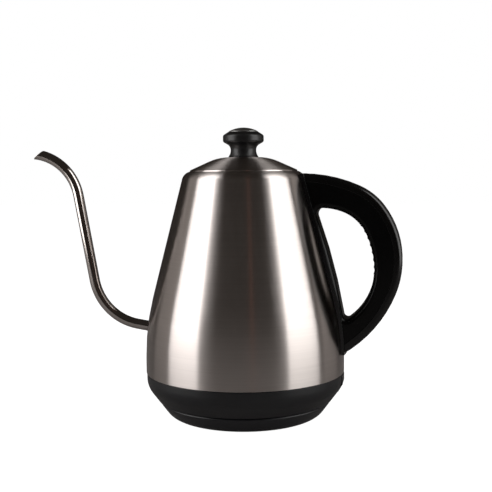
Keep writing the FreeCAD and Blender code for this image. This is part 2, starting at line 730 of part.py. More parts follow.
def controller():
    body = new_body("controller")
    low = COVER_LOW
    spin(body, [
        ("hub_radius + slip_gap * 2", low),
        ("controller_radius", low),
        ("controller_radius", CONTROLLER_FLANGE_LOW),
        ("controller_flange", CONTROLLER_FLANGE_LOW),
        ("controller_flange", CONTROLLER_TOP),
        ("0", CONTROLLER_TOP),
        ("0", SOCKET_TOP),
        ("hub_radius + slip_gap * 2", SOCKET_TOP),
    ])
    arm = new_sketch(body, "TripArm", "XZ")
    rectangle(arm, "controller_radius - ring_wall", f"{PIVOT_ACROSS} - switch_arm - trip_gap",
              f"{PIVOT_HEIGHT} - switch_hub_radius * 2", f"{PIVOT_HEIGHT} - switch_hub_radius / 3")
    pad(body, arm, "switch_width / 2", middle=True)
    screw_holes(body, "controller_screw_circle", CONTROLLER_FLANGE_LOW,
                "controller_flange_thickness", "screw_radius + fit_gap")


def contact_rings():
    tip = f"({HUB_TOP} - slot_depth * 0.7)"
    contacts("contact_rings", tip, f"{SOCKET_TOP} - {tip} - fit_gap")


def controller_screws():
    body = new_body("controller_screws")
    head_low = f"({CONTROLLER_FLANGE_LOW} - screw_head_height)"
    tip = f"({PLATE_BOTTOM} + heat_plate_thickness * 0.5)"
    ring_of_screws(body, "controller_screw_circle", head_low, tip)


HEAT_PLATE_RADIUS = "(vessel_radius - heat_plate_inset)"
ELEMENT_CIRCLE = f"({HEAT_PLATE_RADIUS} - element_inset)"


def heat_plate():
    body = new_body("heat_plate")
    top = f"({FLOOR} - vessel_wall)"
    spin(body, [
        ("0", PLATE_BOTTOM),
        (HEAT_PLATE_RADIUS, PLATE_BOTTOM),
        (HEAT_PLATE_RADIUS, top),
        ("0", top),
    ])
    screw_holes(body, "controller_screw_circle", PLATE_BOTTOM,
                "heat_plate_thickness * 0.6", "screw_radius + run_gap")


def heating_element():
    body = new_body("heating_element")
    middle = f"({PLATE_BOTTOM} - element_radius)"
    spin(body, [
        (f"{ELEMENT_CIRCLE} - element_radius", PLATE_BOTTOM),
        (f"{ELEMENT_CIRCLE} - element_radius", middle),
        (ELEMENT_CIRCLE, f"{middle} - element_radius", "element_radius", "left"),
        (f"{ELEMENT_CIRCLE} + element_radius", middle, "element_radius", "left"),
        (f"{ELEMENT_CIRCLE} + element_radius", PLATE_BOTTOM),
    ], "element_span")
    half_turn = "(element_span / 2 - 5)"
    tails = new_sketch(body, "Tails", "XY", middle)
    across = f"{ELEMENT_CIRCLE} * cos({half_turn})"
    away = f"{ELEMENT_CIRCLE} * sin({half_turn})"
    circles(tails, [(across, away), (across, f"-{away}")], "tail_radius")
    pad(body, tails, "element_radius + tail_length", back=True)


def switch_lever():
    body = new_body("switch_lever")
    half = "(switch_paddle_height / 2)"
    face = "(vessel_radius + switch_proud)"
    waist = "(switch_hub_radius * 0.7)"
    sketch = new_sketch(body, "Lever", "XZ")
    neck = f"({PIVOT_ACROSS} + switch_hub_radius * 1.4)"
    outline(sketch, [
        (f"{PIVOT_ACROSS} - switch_arm", f"{PIVOT_HEIGHT} - {waist}"),
        (PIVOT_ACROSS, f"{PIVOT_HEIGHT} - switch_hub_radius"),
        (neck, f"{PIVOT_HEIGHT} - {half}"),
        (f"{face} - {half} * 0.6", f"{PIVOT_HEIGHT} - {half}"),
        (face, f"{PIVOT_HEIGHT} + {half} * 0.4"),
        (f"{face} - {half} * 0.3", f"{PIVOT_HEIGHT} + {half}"),
        (neck, f"{PIVOT_HEIGHT} + {half}"),
        (PIVOT_ACROSS, f"{PIVOT_HEIGHT} + switch_hub_radius"),
        (f"{PIVOT_ACROSS} - switch_arm", f"{PIVOT_HEIGHT} + {waist}"),
    ])
    pad(body, sketch, "switch_width", middle=True)
    bearing = new_sketch(body, "Bearing", "XZ")
    circles(bearing, [(PIVOT_ACROSS, PIVOT_HEIGHT)], "switch_pin_radius + run_gap")
    cut(body, bearing, "vessel_radius", middle=True)


def switch_pin():
    body = new_body("switch_pin")
    sketch = new_sketch(body, "Pin", "XZ")
    circles(sketch, [(PIVOT_ACROSS, PIVOT_HEIGHT)], "switch_pin_radius")
    pad(body, sketch, f"{SLOT_WIDTH} + lug_thickness * 2", middle=True)


# Vessel and spout
SEAT_RADIUS = f"({CONE_EDGE} - shoulder_width)"
MOUTH_RADIUS = f"({SEAT_RADIUS} - seat_width)"
SHOULDER_CENTRE = f"({CONE_EDGE} - shoulder_round * cos(wall_lean))"
SHOULDER_LEVEL = f"({CONE_TOP} - shoulder_round * sin(wall_lean))"


def shoulder_height(radius, skin):
    """Height of the shoulder's cone at a radius, moved outward by skin."""
    end_radius = f"({SHOULDER_CENTRE} + (shoulder_round + {skin}) * sin(lid_slope))"
    end_height = f"({SHOULDER_LEVEL} + (shoulder_round + {skin}) * cos(lid_slope))"
    return f"({end_height} + ({end_radius} - ({radius})) * tan(lid_slope))"


def steel_side(skin):
    """Corners of the steel from its lower edge over the shoulder's round, moved outward by skin."""
    return wall_side(skin, STEEL_FOOT, CONE_TOP)[:3] + [
        (
            f"{SHOULDER_CENTRE} + (shoulder_round + {skin}) * cos(wall_lean)",
            f"{SHOULDER_LEVEL} + (shoulder_round + {skin}) * sin(wall_lean)",
        ),
        (
            f"{SHOULDER_CENTRE} + (shoulder_round + {skin}) * sin(lid_slope)",
            f"{SHOULDER_LEVEL} + (shoulder_round + {skin}) * cos(lid_slope)",
            f"shoulder_round + {skin}",
            "left",
        ),
    ]


SEAT = f"({shoulder_height(SEAT_RADIUS, '0')} - seat_drop)"
SPOUT_HEIGHT = f"({STEEL_FOOT} + spout_height)"
SPOUT_START = f"({STEEL_INSIDE} - spout_wall * 3)"


def vessel_shell():
    body = new_body("vessel_shell")
    inner = "(-vessel_wall)"
    seat_below = f"({SEAT} - vessel_wall)"
    neck_low = f"({SEAT} - neck_depth)"
    spin(body, steel_side("0") + [
        (SEAT_RADIUS, shoulder_height(SEAT_RADIUS, "0")),
        (SEAT_RADIUS, SEAT),
        (MOUTH_RADIUS, SEAT),
        (MOUTH_RADIUS, neck_low),
        (f"{MOUTH_RADIUS} + vessel_wall", neck_low),
        (f"{MOUTH_RADIUS} + vessel_wall", seat_below),
        (f"{SEAT_RADIUS} + vessel_wall", seat_below),
        (f"{SEAT_RADIUS} + vessel_wall", shoulder_height(f"{SEAT_RADIUS} + vessel_wall", inner)),
    ] + backward(steel_side(inner)))
    port = new_sketch(body, "Port", "YZ")
    tilt(port, FreeCAD.Vector(1, 0, 0), "spout_rise")
    rule(port, "AttachmentOffset.Base.y", SPOUT_HEIGHT)
    rule(port, "AttachmentOffset.Base.z", f"-{SPOUT_START}")
    circles(port, [("0", "0")], "spout_radius + run_gap")
    cut(body, port, "spout_radius * 3", middle=True)


def vessel_floor():
    body = new_body("vessel_floor")
    low = f"({FLOOR} - vessel_wall)"
    edge = f"({STEEL_INSIDE} - run_gap)"
    spin(body, [
        ("0", low),
        (f"{edge} - vessel_wall", low),
        (f"{edge} - vessel_wall", f"{FLOOR} - floor_rim"),
        (edge, f"{FLOOR} - floor_rim"),
        (edge, FLOOR),
        ("0", FLOOR),
    ])


def spout_tube():
    body = new_body("spout_tube")
    path = new_sketch(body, "Path", "XZ")
    run = chain(path, f"-{SPOUT_START}", SPOUT_HEIGHT, "180 - spout_rise", [
        ("spout_root",),
        ("spout_low_arc", "spout_low_turn", "right"),
        ("spout_straight",),
        ("spout_high_arc", "spout_high_turn", "left"),
    ])
    doc.recompute()
    sections = []
    for name, radius in (("Outside", "spout_radius"), ("Inside", "spout_radius - spout_wall")):
        section = body.newObject("Sketcher::SketchObject", name)
        section.AttachmentSupport = [(path, "Edge1")]
        section.MapMode = "NormalToEdge"
        section.MapPathParameter = 0
        circles(section, [("0", "0")], radius)
        sections.append(section)
    tube = body.newObject("PartDesign::AdditivePipe", "Tube")
    tube.Profile = sections[0]
    tube.Spine = (path, [])
    settle(body)
    before = body.Shape.Volume
    bore = body.newObject("PartDesign::SubtractivePipe", "Bore")
    bore.Profile = sections[1]
    bore.Spine = (path, [])
    settle(body, before)
    lip = body.newObject("Sketcher::SketchObject", "Lip")
    lip.AttachmentSupport = [(path, f"Edge{len(run)}")]
    lip.MapMode = "NormalToEdge"
    lip.MapPathParameter = 1
    tilt(lip, FreeCAD.Vector(1, 0, 0), "lip_slant")
    rule(lip, "AttachmentOffset.Base.z", "lip_back")
    circles(lip, [("0", "0")], "spout_radius * 4")
    cut(body, lip, "spout_radius * 3")


# Lid
RING_FLANGE = f"({SEAT} + fit_gap)"
RIM_LOW = f"({RING_FLANGE} + lid_ring_wall + run_gap)"
RIM_RADIUS = f"({SEAT_RADIUS} - slip_gap)"
RIM_TOP = f"({SEAT} + lid_rim_height)"
CROWN_EDGE = "(lid_flat_radius + lid_crown_arc * sin(lid_lean))"
CROWN_LEVEL = f"({RIM_TOP} + ({RIM_RADIUS} - {CROWN_EDGE}) * tan(lid_lean))"
LID_TOP = f"({CROWN_LEVEL} + lid_crown_arc * (1 - cos(lid_lean)))"
SEAL_OUTSIDE = f"({MOUTH_RADIUS} - slip_gap)"
RING_OUTSIDE = f"({SEAL_OUTSIDE} - seal_wall - run_gap)"
RING_LOW = f"({SEAT} - lid_ring_depth)"


def lid_cover():
    body = new_body("lid_cover")
    hole = "(knob_screw_radius + fit_gap)"
    bead = "(lid_rim_round * tan(45 - lid_lean / 2))"
    inner_crown = "(lid_crown_arc - vessel_wall)"
    inner_top = f"({LID_TOP} - vessel_wall)"
    inner_rim = f"({RIM_RADIUS} - vessel_wall)"
    inner_edge = f"(lid_flat_radius + {inner_crown} * sin(lid_lean))"
    inner_level = f"({inner_top} - {inner_crown} * (1 - cos(lid_lean)))"
    spin(body, [
        (inner_rim, RIM_LOW),
        (RIM_RADIUS, RIM_LOW),
        (RIM_RADIUS, f"{RIM_TOP} - {bead}"),
        (f"{RIM_RADIUS} - {bead} * cos(lid_lean)", f"{RIM_TOP} + {bead} * sin(lid_lean)",
         "lid_rim_round", "left"),
        (CROWN_EDGE, CROWN_LEVEL),
        ("lid_flat_radius", LID_TOP, "lid_crown_arc", "left"),
        (hole, LID_TOP),
        (hole, inner_top),
        ("lid_flat_radius", inner_top),
        (inner_edge, inner_level, inner_crown, "right"),
        (inner_rim, f"{inner_level} - ({inner_rim} - {inner_edge}) * tan(lid_lean)"),
    ])
    vent = new_sketch(body, "Vent", "XY", LID_TOP)
    circles(vent, [("0", f"{SEAT_RADIUS} - vent_inset")], "vent_radius")
    cut(body, vent, SEAT_RADIUS)


def lid_ring():
    body = new_body("lid_ring")
    inside = f"({RING_OUTSIDE} - lid_ring_wall)"
    flange_edge = f"({RIM_RADIUS} - fit_gap)"
    bead_edge = f"({RING_OUTSIDE} + seal_wall / 2)"
    spin(body, [
        (inside, RING_LOW),
        (bead_edge, RING_LOW),
        (bead_edge, f"{RING_LOW} + lid_ring_wall"),
        (RING_OUTSIDE, f"{RING_LOW} + lid_ring_wall"),
        (RING_OUTSIDE, RING_FLANGE),
        (flange_edge, RING_FLANGE),
        (flange_edge, f"{RING_FLANGE} + lid_ring_wall"),
        (inside, f"{RING_FLANGE} + lid_ring_wall"),
    ])


def lid_seal():
    body = new_body("lid_seal")
    low = f"({RING_LOW} + lid_ring_wall + run_gap)"
    lip = f"({SEAL_OUTSIDE} - seal_wall / 3)"
    spin(body, [
        (f"{RING_OUTSIDE} + run_gap", low),
        (lip, low),
        (SEAL_OUTSIDE, f"{low} + seal_height / 2"),
        (lip, f"{low} + seal_height"),
        (f"{RING_OUTSIDE} + run_gap", f"{low} + seal_height"),
    ])


KNOB_FOOT = f"({LID_TOP} + run_gap)"
KNOB_TOP = f"({KNOB_FOOT} + knob_height)"
RECESS_FLOOR = f"({KNOB_TOP} - knob_recess)"


def waist_arc(rise, flare):
    """Radius of an arc that leaves the waist upright and spreads by flare over rise."""
    return f"((({rise}) ^ 2 + ({flare}) ^ 2) / (2 * ({flare})))"


def knob():
    body = new_body("knob")
    lower = waist_arc("knob_neck_height", "knob_foot_radius - knob_neck_radius")
    upper = waist_arc("knob_flare_height - knob_neck_height", "knob_radius - knob_neck_radius")
    turned = spin(body, [
        ("0", KNOB_FOOT),
        ("knob_foot_radius", KNOB_FOOT),
        ("knob_neck_radius", f"{KNOB_FOOT} + knob_neck_height", lower, "right"),
        ("knob_radius", f"{KNOB_FOOT} + knob_flare_height", upper, "right"),
        ("knob_radius", f"{KNOB_FOOT} + knob_edge_height"),
        ("knob_cap_radius + knob_recess / 2", KNOB_TOP),
        ("knob_cap_radius + run_gap", KNOB_TOP),
        ("knob_cap_radius + run_gap", RECESS_FLOOR),
        ("knob_peg_radius + run_gap", RECESS_FLOOR),
        ("knob_peg_radius + run_gap", f"{RECESS_FLOOR} - knob_peg_depth - fit_gap"),
        ("0", f"{RECESS_FLOOR} - knob_peg_depth - fit_gap"),
    ])
    round_edges(body, turned, "knob_edge_round", on_circle("knob_radius"))
    thread = new_sketch(body, "Thread", "XY", KNOB_FOOT)
    circles(thread, [("0", "0")], "knob_screw_radius + run_gap")
    cut(body, thread, "knob_screw_reach + fit_gap", back=True)


def knob_cap():
    body = new_body("knob_cap")
    seat = f"({RECESS_FLOOR} + run_gap)"
    edge = f"({KNOB_TOP} + knob_cap_rise / 4)"
    dome = waist_arc("knob_cap_radius", "knob_cap_rise * 0.75")
    spin(body, [
        ("0", f"{RECESS_FLOOR} - knob_peg_depth"),
        ("knob_peg_radius", f"{RECESS_FLOOR} - knob_peg_depth"),
        ("knob_peg_radius", seat),
        ("knob_cap_radius", seat),
        ("knob_cap_radius", edge),
        ("0", f"{KNOB_TOP} + knob_cap_rise", dome, "left"),
    ])


WASHER_TOP = f"({LID_TOP} - vessel_wall - run_gap)"
WASHER_LOW = f"({WASHER_TOP} - washer_thickness)"


def knob_washer():
    body = new_body("knob_washer")
    hole = "(knob_screw_radius + fit_gap)"
    spin(body, [
        (hole, WASHER_LOW),
        ("washer_radius", WASHER_LOW),
        ("washer_radius", WASHER_TOP),
        (hole, WASHER_TOP),
    ])


def knob_screw():
    body = new_body("knob_screw")
    head_top = f"({WASHER_LOW} - run_gap)"
    head = "(knob_screw_radius * 2)"
    tip = f"({KNOB_FOOT} + knob_screw_reach)"
    spin(body, [
        ("0", f"{head_top} - knob_screw_radius * 1.2"),
        (f"{head} * 0.8", f"{head_top} - knob_screw_radius * 1.2"),
        (head, f"{head_top} - knob_screw_radius * 0.6"),
        (head, head_top),
        ("knob_screw_radius", head_top),
        ("knob_screw_radius", f"{tip} - knob_screw_radius / 2"),
        ("knob_screw_radius / 2", tip),
        ("0", tip),
    ])


# Handle
HANDLE_TOP = f"({CONE_TOP} + handle_top)"
SPINE_FACE = "(fit_gap + spine_thickness)"
LOOP_BACK = f"({SPINE_FACE} + fit_gap)"
UPPER_STUD = f"({CONE_TOP} - upper_stud_drop)"
LOWER_STUD = f"({CONE_TOP} - lower_stud_drop)"


def belly_radius(height, skin):
    """Radius of the steel wall at a height on its large arc, moved outward by skin."""
    return f"({BELLY_CENTRE} + sqrt((belly_arc + {skin}) ^ 2 - ({height} - {BELLY_HEIGHT}) ^ 2))"


STUDS = [
    ("upper_handle_stud", UPPER_STUD, f"({wall_radius(UPPER_STUD, SPINE_FACE)} + stud_reach)"),
    ("lower_handle_stud", LOWER_STUD, f"({belly_radius(LOWER_STUD, SPINE_FACE)} + stud_reach)"),
]


def loop_run(sketch, skin):
    """The loop's outer line, moved inward by skin."""
    return chain(sketch, f"{CONE_EDGE} - handle_inset", f"{HANDLE_TOP} - {skin}", "0", [
        ("crown_flat",),
        (f"crown_arc - {skin}", "crown_turn", "right"),
        (f"knuckle_arc - {skin}", "knuckle_turn", "right"),
        (f"palm_arc - {skin}", "palm_turn", "right"),
        (f"heel_arc - {skin}", "heel_turn", "right"),
    ])


def window_run(sketch, skin):
    """The finger window's line, moved into the handle by skin."""
    across = f"{CONE_EDGE} - window_inset - ({skin}) * sin(window_entry)"
    up = f"{CONE_TOP} - window_drop + ({skin}) * cos(window_entry)"
    return chain(sketch, across, up, "window_entry", [
        ("window_entry_length",),
        (f"window_corner_arc + {skin}", "window_corner_turn", "right"),
        (f"window_top_arc + {skin}", "window_top_turn", "right"),
        (f"window_knuckle_arc + {skin}", "window_knuckle_turn", "right"),
        (f"grip_arc + {skin}", "grip_turn", "right"),
        (f"window_heel_arc + {skin}", "window_heel_turn", "right"),
        (f"window_toe_arc + {skin}", "window_toe_turn", "right"),
        ("window_exit_length",),
    ])


def grip_band(sketch, inner, outer):
    """A band along the grip part of the window's line, between two skins."""
    arcs = []
    for skin in (inner, outer):
        run = window_run(sketch, skin)
        for edge, _, _ in run:
            sketch.setConstruction(edge, edge != run[4][0])
        arcs.append(run[4])
    for end in (1, 2):
        join(sketch, arcs[0][0], end, arcs[1][0], end)
    return arcs[0]


def along_handle(body, height, start, length, radius):
    """A round hole that runs outward from start."""
    sketch = new_sketch(body, "Hole", "YZ", start)
    circles(sketch, [("0", height)], radius)
    cut(body, sketch, length, back=True)


def handle_spine():
    body = new_body("handle_spine")
    low = f"({STEEL_FOOT} + spine_bottom)"
    front = wall_side(SPINE_FACE, low, HANDLE_TOP)
    back = wall_side("fit_gap", low, HANDLE_TOP)
    spin(body, front + backward(back), "spine_sweep")
    sides = new_sketch(body, "Sides", "XY")
    half = "(spine_width / 2)"
    rectangle(sides, "0", "vessel_radius * 2", half, "vessel_radius")
    rectangle(sides, "0", "vessel_radius * 2", "-vessel_radius", f"-{half}")
    cut(body, sides, "cone_height * 4", middle=True)
    for _, height, end in STUDS:
        along_handle(body, height, f"{MOUTH_RADIUS} / 2", end, "stud_radius + fit_gap")


def handle_studs():
    for label, height, end in STUDS:
        body = new_body(label)
        sketch = new_sketch(body, "Stud", "YZ", MOUTH_RADIUS)
        circles(sketch, [("0", height)], "stud_radius")
        pad(body, sketch, f"{end} - {MOUTH_RADIUS}")
        spin_cut(body, behind_wall("0"))
        along_handle(body, height, f"{end} - handle_screw_length + stud_seat - fit_gap",
                     "handle_screw_length", "handle_screw_radius + run_gap")


def handle_body():
    body = new_body("handle_body")
    sketch = new_sketch(body, "Loop", "XZ")
    run = loop_run(sketch, "(cover_thickness + fit_gap)")
    join(sketch, run[-1][0], run[-1][2], run[0][0], run[0][1])
    pad(body, sketch, "handle_width", middle=True)
    window = new_sketch(body, "Window", "XZ")
    run = window_run(window, "0")
    join(window, run[-1][0], run[-1][2], run[0][0], run[0][1])
    opened = cut(body, window, "handle_width * 2", middle=True)
    round_edges(body, opened, "handle_round", flat_edges("handle_width", [
        "window_corner_arc", "window_top_arc", "window_knuckle_arc", "grip_arc",
        "window_heel_arc", "window_toe_arc",
    ]))
    spin_cut(body, behind_wall(LOOP_BACK))
    pocket = new_sketch(body, "InsertPocket", "XZ")
    grip_band(pocket, "(-insert_proud * 2)", "(insert_depth + fit_gap)")
    cut(body, pocket, "insert_width + fit_gap * 2", middle=True)
    for _, height, end in STUDS:
        along_handle(body, height, MOUTH_RADIUS, f"{end} - {MOUTH_RADIUS} + fit_gap",
                     "stud_radius + fit_gap")
        along_handle(body, height, end, "stud_seat * 2", "handle_screw_radius + fit_gap")
        along_handle(body, height, f"{end} + stud_seat", "vessel_radius",
                     "handle_screw_head_radius + fit_gap * 2")


def handle_cover():
    body = new_body("handle_cover")
    sketch = new_sketch(body, "Cover", "XZ")
    outer = loop_run(sketch, "0")
    inner = loop_run(sketch, "cover_thickness")
    join(sketch, outer[0][0], outer[0][1], inner[0][0], inner[0][1])
    join(sketch, outer[-1][0], outer[-1][2], inner[-1][0], inner[-1][2])
    band = pad(body, sketch, "handle_width", middle=True)
    round_edges(body, band, "handle_round", flat_edges("handle_width", [
        "crown_arc", "knuckle_arc", "palm_arc", "heel_arc",
    ]))
    spin_cut(body, behind_wall(LOOP_BACK))


def grip_insert():
    body = new_body("grip_insert")
    sketch = new_sketch(body, "Insert", "XZ")
    grip_band(sketch, "(-insert_proud)", "insert_depth")
    pad(body, sketch, "insert_width", middle=True)
    scallops = new_sketch(body, "Scallops", "XZ")
    grip = grip_band(scallops, "(-insert_proud)", "insert_depth")
    for edge in range(scallops.GeometryCount):
        scallops.setConstruction(edge, True)
    sink = "(scallop_radius - scallop_depth)"
    arc = scallops.Geometry[grip[0]]
    orbit = number(f"grip_arc - insert_proud - {sink}")
    track = scallops.addGeometry(Part.Circle(arc.Center, FreeCAD.Vector(0, 0, 1), orbit), True)
    scallops.addConstraint(Sketcher.Constraint("Coincident", track, 3, grip[0], 3))
    constrain(scallops, "Radius", (track,), f"grip_arc - insert_proud - {sink}")
    first_chord = f"sqrt({sink} ^ 2 + (scallop_pitch / 2) ^ 2)"
    angle = arc.LastParameter - number("scallop_pitch / 2") / arc.Radius
    before = (grip[0], grip[1])
    count = int(arc.Radius * (arc.LastParameter - arc.FirstParameter) / number("scallop_pitch"))
    for index in range(count):
        ray = FreeCAD.Vector(math.cos(angle), math.sin(angle), 0)
        spot = Part.Circle(arc.Center + ray * orbit, FreeCAD.Vector(0, 0, 1), number("scallop_radius"))
        edge = scallops.addGeometry(spot)
        constrain(scallops, "Radius", (edge,), "scallop_radius")
        scallops.addConstraint(Sketcher.Constraint("PointOnObject", edge, 3, track))
        constrain(scallops, "Distance", (*before, edge, 3), "scallop_pitch" if index else first_chord)
        before = (edge, 3)
        angle -= 2 * math.asin(number("scallop_pitch") / (2 * orbit))
    cut(body, scallops, "insert_width * 2", middle=True)


def handle_screws():
    body = new_body("handle_screws")
    for _, height, end in STUDS:
        seat = f"({end} + stud_seat + run_gap)"
        heads = new_sketch(body, "Head", "YZ", seat)
        circles(heads, [("0", height)], "handle_screw_head_radius")
        pad(body, heads, "handle_screw_head_height")
        shanks = new_sketch(body, "Shank", "YZ", f"{seat} - handle_screw_length")
        circles(shanks, [("0", height)], "handle_screw_radius")
        pad(body, shanks, "handle_screw_length")


BUILDERS = [
    base_housing, base_plate, foot_ring, base_screws, base_hub, hub_contacts,
    base_skirt, bottom_cover, cover_screws, controller, contact_rings, controller_screws,
    heat_plate, heating_element, switch_lever, switch_pin,
    vessel_shell, vessel_floor, spout_tube,
    lid_cover, lid_ring, lid_seal, knob, knob_cap, knob_washer, knob_screw,
    handle_spine, handle_studs, handle_body, handle_cover, grip_insert, handle_screws,
]
for build in BUILDERS:
    build()

doc.recompute()
for item in doc.Objects:
    if {"Invalid", "Error"} & set(item.State):
        raise RuntimeError(f"{item.Label}: {item.getStatusString()}")

os.makedirs("parts", exist_ok=True)
for node in NODES:
    settle(node)
    node.Shape.exportStep(f"parts/{node.Label}.step")
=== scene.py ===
import math

import bmesh
import bpy
from mathutils import Matrix, Vector


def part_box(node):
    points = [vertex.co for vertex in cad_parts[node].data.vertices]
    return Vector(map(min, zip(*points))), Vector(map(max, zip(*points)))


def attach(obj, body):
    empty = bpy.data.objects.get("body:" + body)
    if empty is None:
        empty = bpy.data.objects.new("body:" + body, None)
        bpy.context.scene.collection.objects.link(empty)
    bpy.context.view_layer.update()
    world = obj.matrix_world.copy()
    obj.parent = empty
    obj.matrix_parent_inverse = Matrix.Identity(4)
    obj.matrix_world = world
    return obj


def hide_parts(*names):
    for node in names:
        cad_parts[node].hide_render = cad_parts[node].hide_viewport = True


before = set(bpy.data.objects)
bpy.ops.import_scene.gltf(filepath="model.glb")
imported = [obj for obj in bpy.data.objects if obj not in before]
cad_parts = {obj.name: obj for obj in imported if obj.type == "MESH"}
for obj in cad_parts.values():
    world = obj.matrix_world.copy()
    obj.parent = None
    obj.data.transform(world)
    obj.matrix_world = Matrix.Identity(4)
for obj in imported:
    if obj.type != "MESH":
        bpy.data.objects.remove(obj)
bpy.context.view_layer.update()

bl_info = {
    "name": "Gooseneck Kettle",
    "version": (1, 0, 0),
    "blender": (4, 5, 0),
    "location": "View3D > Sidebar > Kettle",
    "description": "Models and finishes an electric gooseneck kettle around its construction solids",
    "category": "Add Mesh",
}

TURN_STEPS = 192
STRIP_STEPS = 60
TUBE_SIDES = 40
TUBE_BEND_STEPS = 36
ROD_SIDES = 48
EDGE_SEGMENTS = 7
SEAM_SEGMENTS = 2
ARC_STEP = math.radians(5)
GRIP_STEP = math.radians(0.5)
SHARP_EDGE = math.radians(35)
SAME_PLACE = 2e-5
DOUBLES = 1e-6
MICRON = 1e-6
NOISE_RANGE = (0.3, 0.7)

# Places that the construction solids give, in millimetres
STEEL_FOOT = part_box("vessel_shell")[0].z * 1000
STEEL_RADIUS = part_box("vessel_shell")[1].x * 1000
LID_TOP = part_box("lid_cover")[1].z * 1000
KNOB_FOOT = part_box("knob")[0].z * 1000
HANDLE_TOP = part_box("handle_cover")[1].z * 1000


# Properties

def length(name, description, millimetres):
    """A size in the sheet of sizes, given in millimetres and kept in metres."""
    return bpy.props.FloatProperty(
        name=name, description=description, default=millimetres / 1000, precision=5, unit="LENGTH")


def angle(name, description, degrees):
    """An angle, given in degrees and kept in radians."""
    return bpy.props.FloatProperty(
        name=name, description=description, default=math.radians(degrees), subtype="ANGLE")


def colour(name, description, value):
    return bpy.props.FloatVectorProperty(
        name=name, description=description, default=value, size=3, min=0, max=1, subtype="COLOR")


class VesselSizes(bpy.types.PropertyGroup):
    foot: length("Foot", "Lower edge of the steel above the table", STEEL_FOOT)
    radius: length("Radius", "Steel wall at the foot, outside", STEEL_RADIUS)
    wall: length("Sheet", "Thickness of the steel", 0.8)
    upright: length("Upright", "Upright part of the wall above the foot", 11.5)
    belly_arc: length("Belly", "Large bend between the upright part and the cone", 186.0)
    lean: angle("Lean", "Cone from upright", 14.6)
    shoulder: length("Shoulder", "Corner of cone and shoulder above the foot", 153.294)
    shoulder_round: length("Shoulder round", "Rounded edge of the shoulder", 8.0)
    slope: angle("Slope", "Shoulder from level", 25.0)
    seat_radius: length("Seat radius", "Recess that takes the lid", 41.99)
    seat_drop: length("Seat depth", "Depth of that recess", 1.8)
    mouth_radius: length("Mouth", "Inside of the neck", 37.99)
    neck: length("Neck", "Neck below the seat", 7.0)


class SpoutSizes(bpy.types.PropertyGroup):
    start: length("Start", "Start of the tube from the axis", 75.0)
    height: length("Height", "Start of the tube above the table", 68.5)
    radius: length("Radius", "Tube outside", 3.5)
    wall: length("Wall", "Thickness of the tube", 0.6)
    rise: angle("Rise", "Tube at the wall, from level", 9.1)
    root: length("Root", "Straight start", 12.4)
    low_arc: length("Lower bend", "Radius of the lower bend", 43.1)
    low_turn: angle("Lower turn", "Angle of the lower bend", 70.9)
    straight: length("Straight", "Straight part between the bends", 68.7)
    high_arc: length("Upper bend", "Radius of the upper bend", 41.1)
    high_turn: angle("Upper turn", "Angle of the upper bend", 75.0)
    lip_back: length("Lip", "Middle of the mouth behind the end of the bend", 4.6)
    lip_slant: angle("Lip slant", "Mouth from a square cut", 49.4)


class LidSizes(bpy.types.PropertyGroup):
    top: length("Top", "Level middle of the lid above the table", LID_TOP)
    rim_radius: length("Rim", "Outer edge of the lid", 41.69)
    rim_low: length("Rim foot", "Lower edge of the rim", 190.97)
    rim_top: length("Rim top", "Corner of rim and cone", 192.77)
    rim_round: length("Bead", "Round of the rim", 1.0)
    lean: angle("Lean", "Lid cone from level", 24.2)
    crown_arc: length("Crown", "Bend between cone and middle", 38.0)
    wall: length("Sheet", "Thickness of the steel", 0.8)
    hole: length("Hole", "Hole for the knob's screw", 2.1)
    vent_radius: length("Vent", "Steam vent", 1.6)
    vent_place: length("Vent place", "Steam vent from the axis", 30.0)


class KnobSizes(bpy.types.PropertyGroup):
    foot: length("Foot", "Lower face of the knob above the table", KNOB_FOOT)
    foot_radius: length("Foot radius", "Knob at the lid", 12.0)
    waist_radius: length("Waist", "Narrowest part", 9.9)
    waist_low: length("Flare", "Corner of foot and waist above the foot", 2.5)
    waist_high: length("Underside", "Corner of waist and underside above the foot", 8.5)
    foot_arc: length("Flare arc", "Hollow between foot and waist", 7.4)
    under_arc: length("Underside arc", "Hollow between waist and underside", 4.9)
    grip_radius: length("Grip", "Widest part", 15.8)
    grip_low: length("Grip foot", "Lower edge of the grip above the foot", 11.8)
    grip_high: length("Grip top", "Upper edge of the grip above the foot", 16.8)
    grip_round: length("Grip edges", "Rounded edges of the grip", 2.0)
    height: length("Height", "Top of the knob above the foot", 19.5)
    cap_radius: length("Cap", "Metal cap", 11.2)
    cap_rise: length("Cap rise", "Top of the cap above the knob", 3.3)
    cap_edge: length("Cap edge", "Upright edge of the cap above the knob", 0.5)
    cap_gap: length("Cap gap", "Open line around the cap", 0.05)
    recess: length("Recess", "Depth of the cap's seat", 1.6)


class HandleSizes(bpy.types.PropertyGroup):
    top: length("Top", "Highest line of the handle", HANDLE_TOP)
    width: length("Width", "Loop from side to side", 24.0)
    edge_round: length("Edges", "Rounded edges of the loop", 4.0)
    seam_round: length("Seam", "Edges along the seam", 0.35)
    band: length("Band", "Thickness of the outer band", 6.4)
    seam: length("Seam gap", "Open line around the soft grip and along the strip", 0.1)
    spine_width: length("Strip width", "Strip on the wall, side to side", 27.0)
    spine_back: length("Strip back", "Strip from the steel", 0.1)
    spine_front: length("Strip front", "Face of the strip from the steel", 2.5)
    spine_low: length("Strip foot", "Lower end of the strip above the table", 51.9)
    spine_round: length("Strip edges", "Rounded edges of the strip", 0.7)
    insert_width: length("Grip width", "Soft grip, side to side", 19.0)
    insert_depth: length("Grip depth", "Soft grip inside the loop", 2.2)
    insert_proud: length("Grip proud", "Soft grip above the loop", 0.3)
    ribs: bpy.props.IntProperty(name="Ribs", description="Scallops along the soft grip", default=7, min=2)
    rib_depth: length("Rib depth", "Depth of one scallop", 0.7)


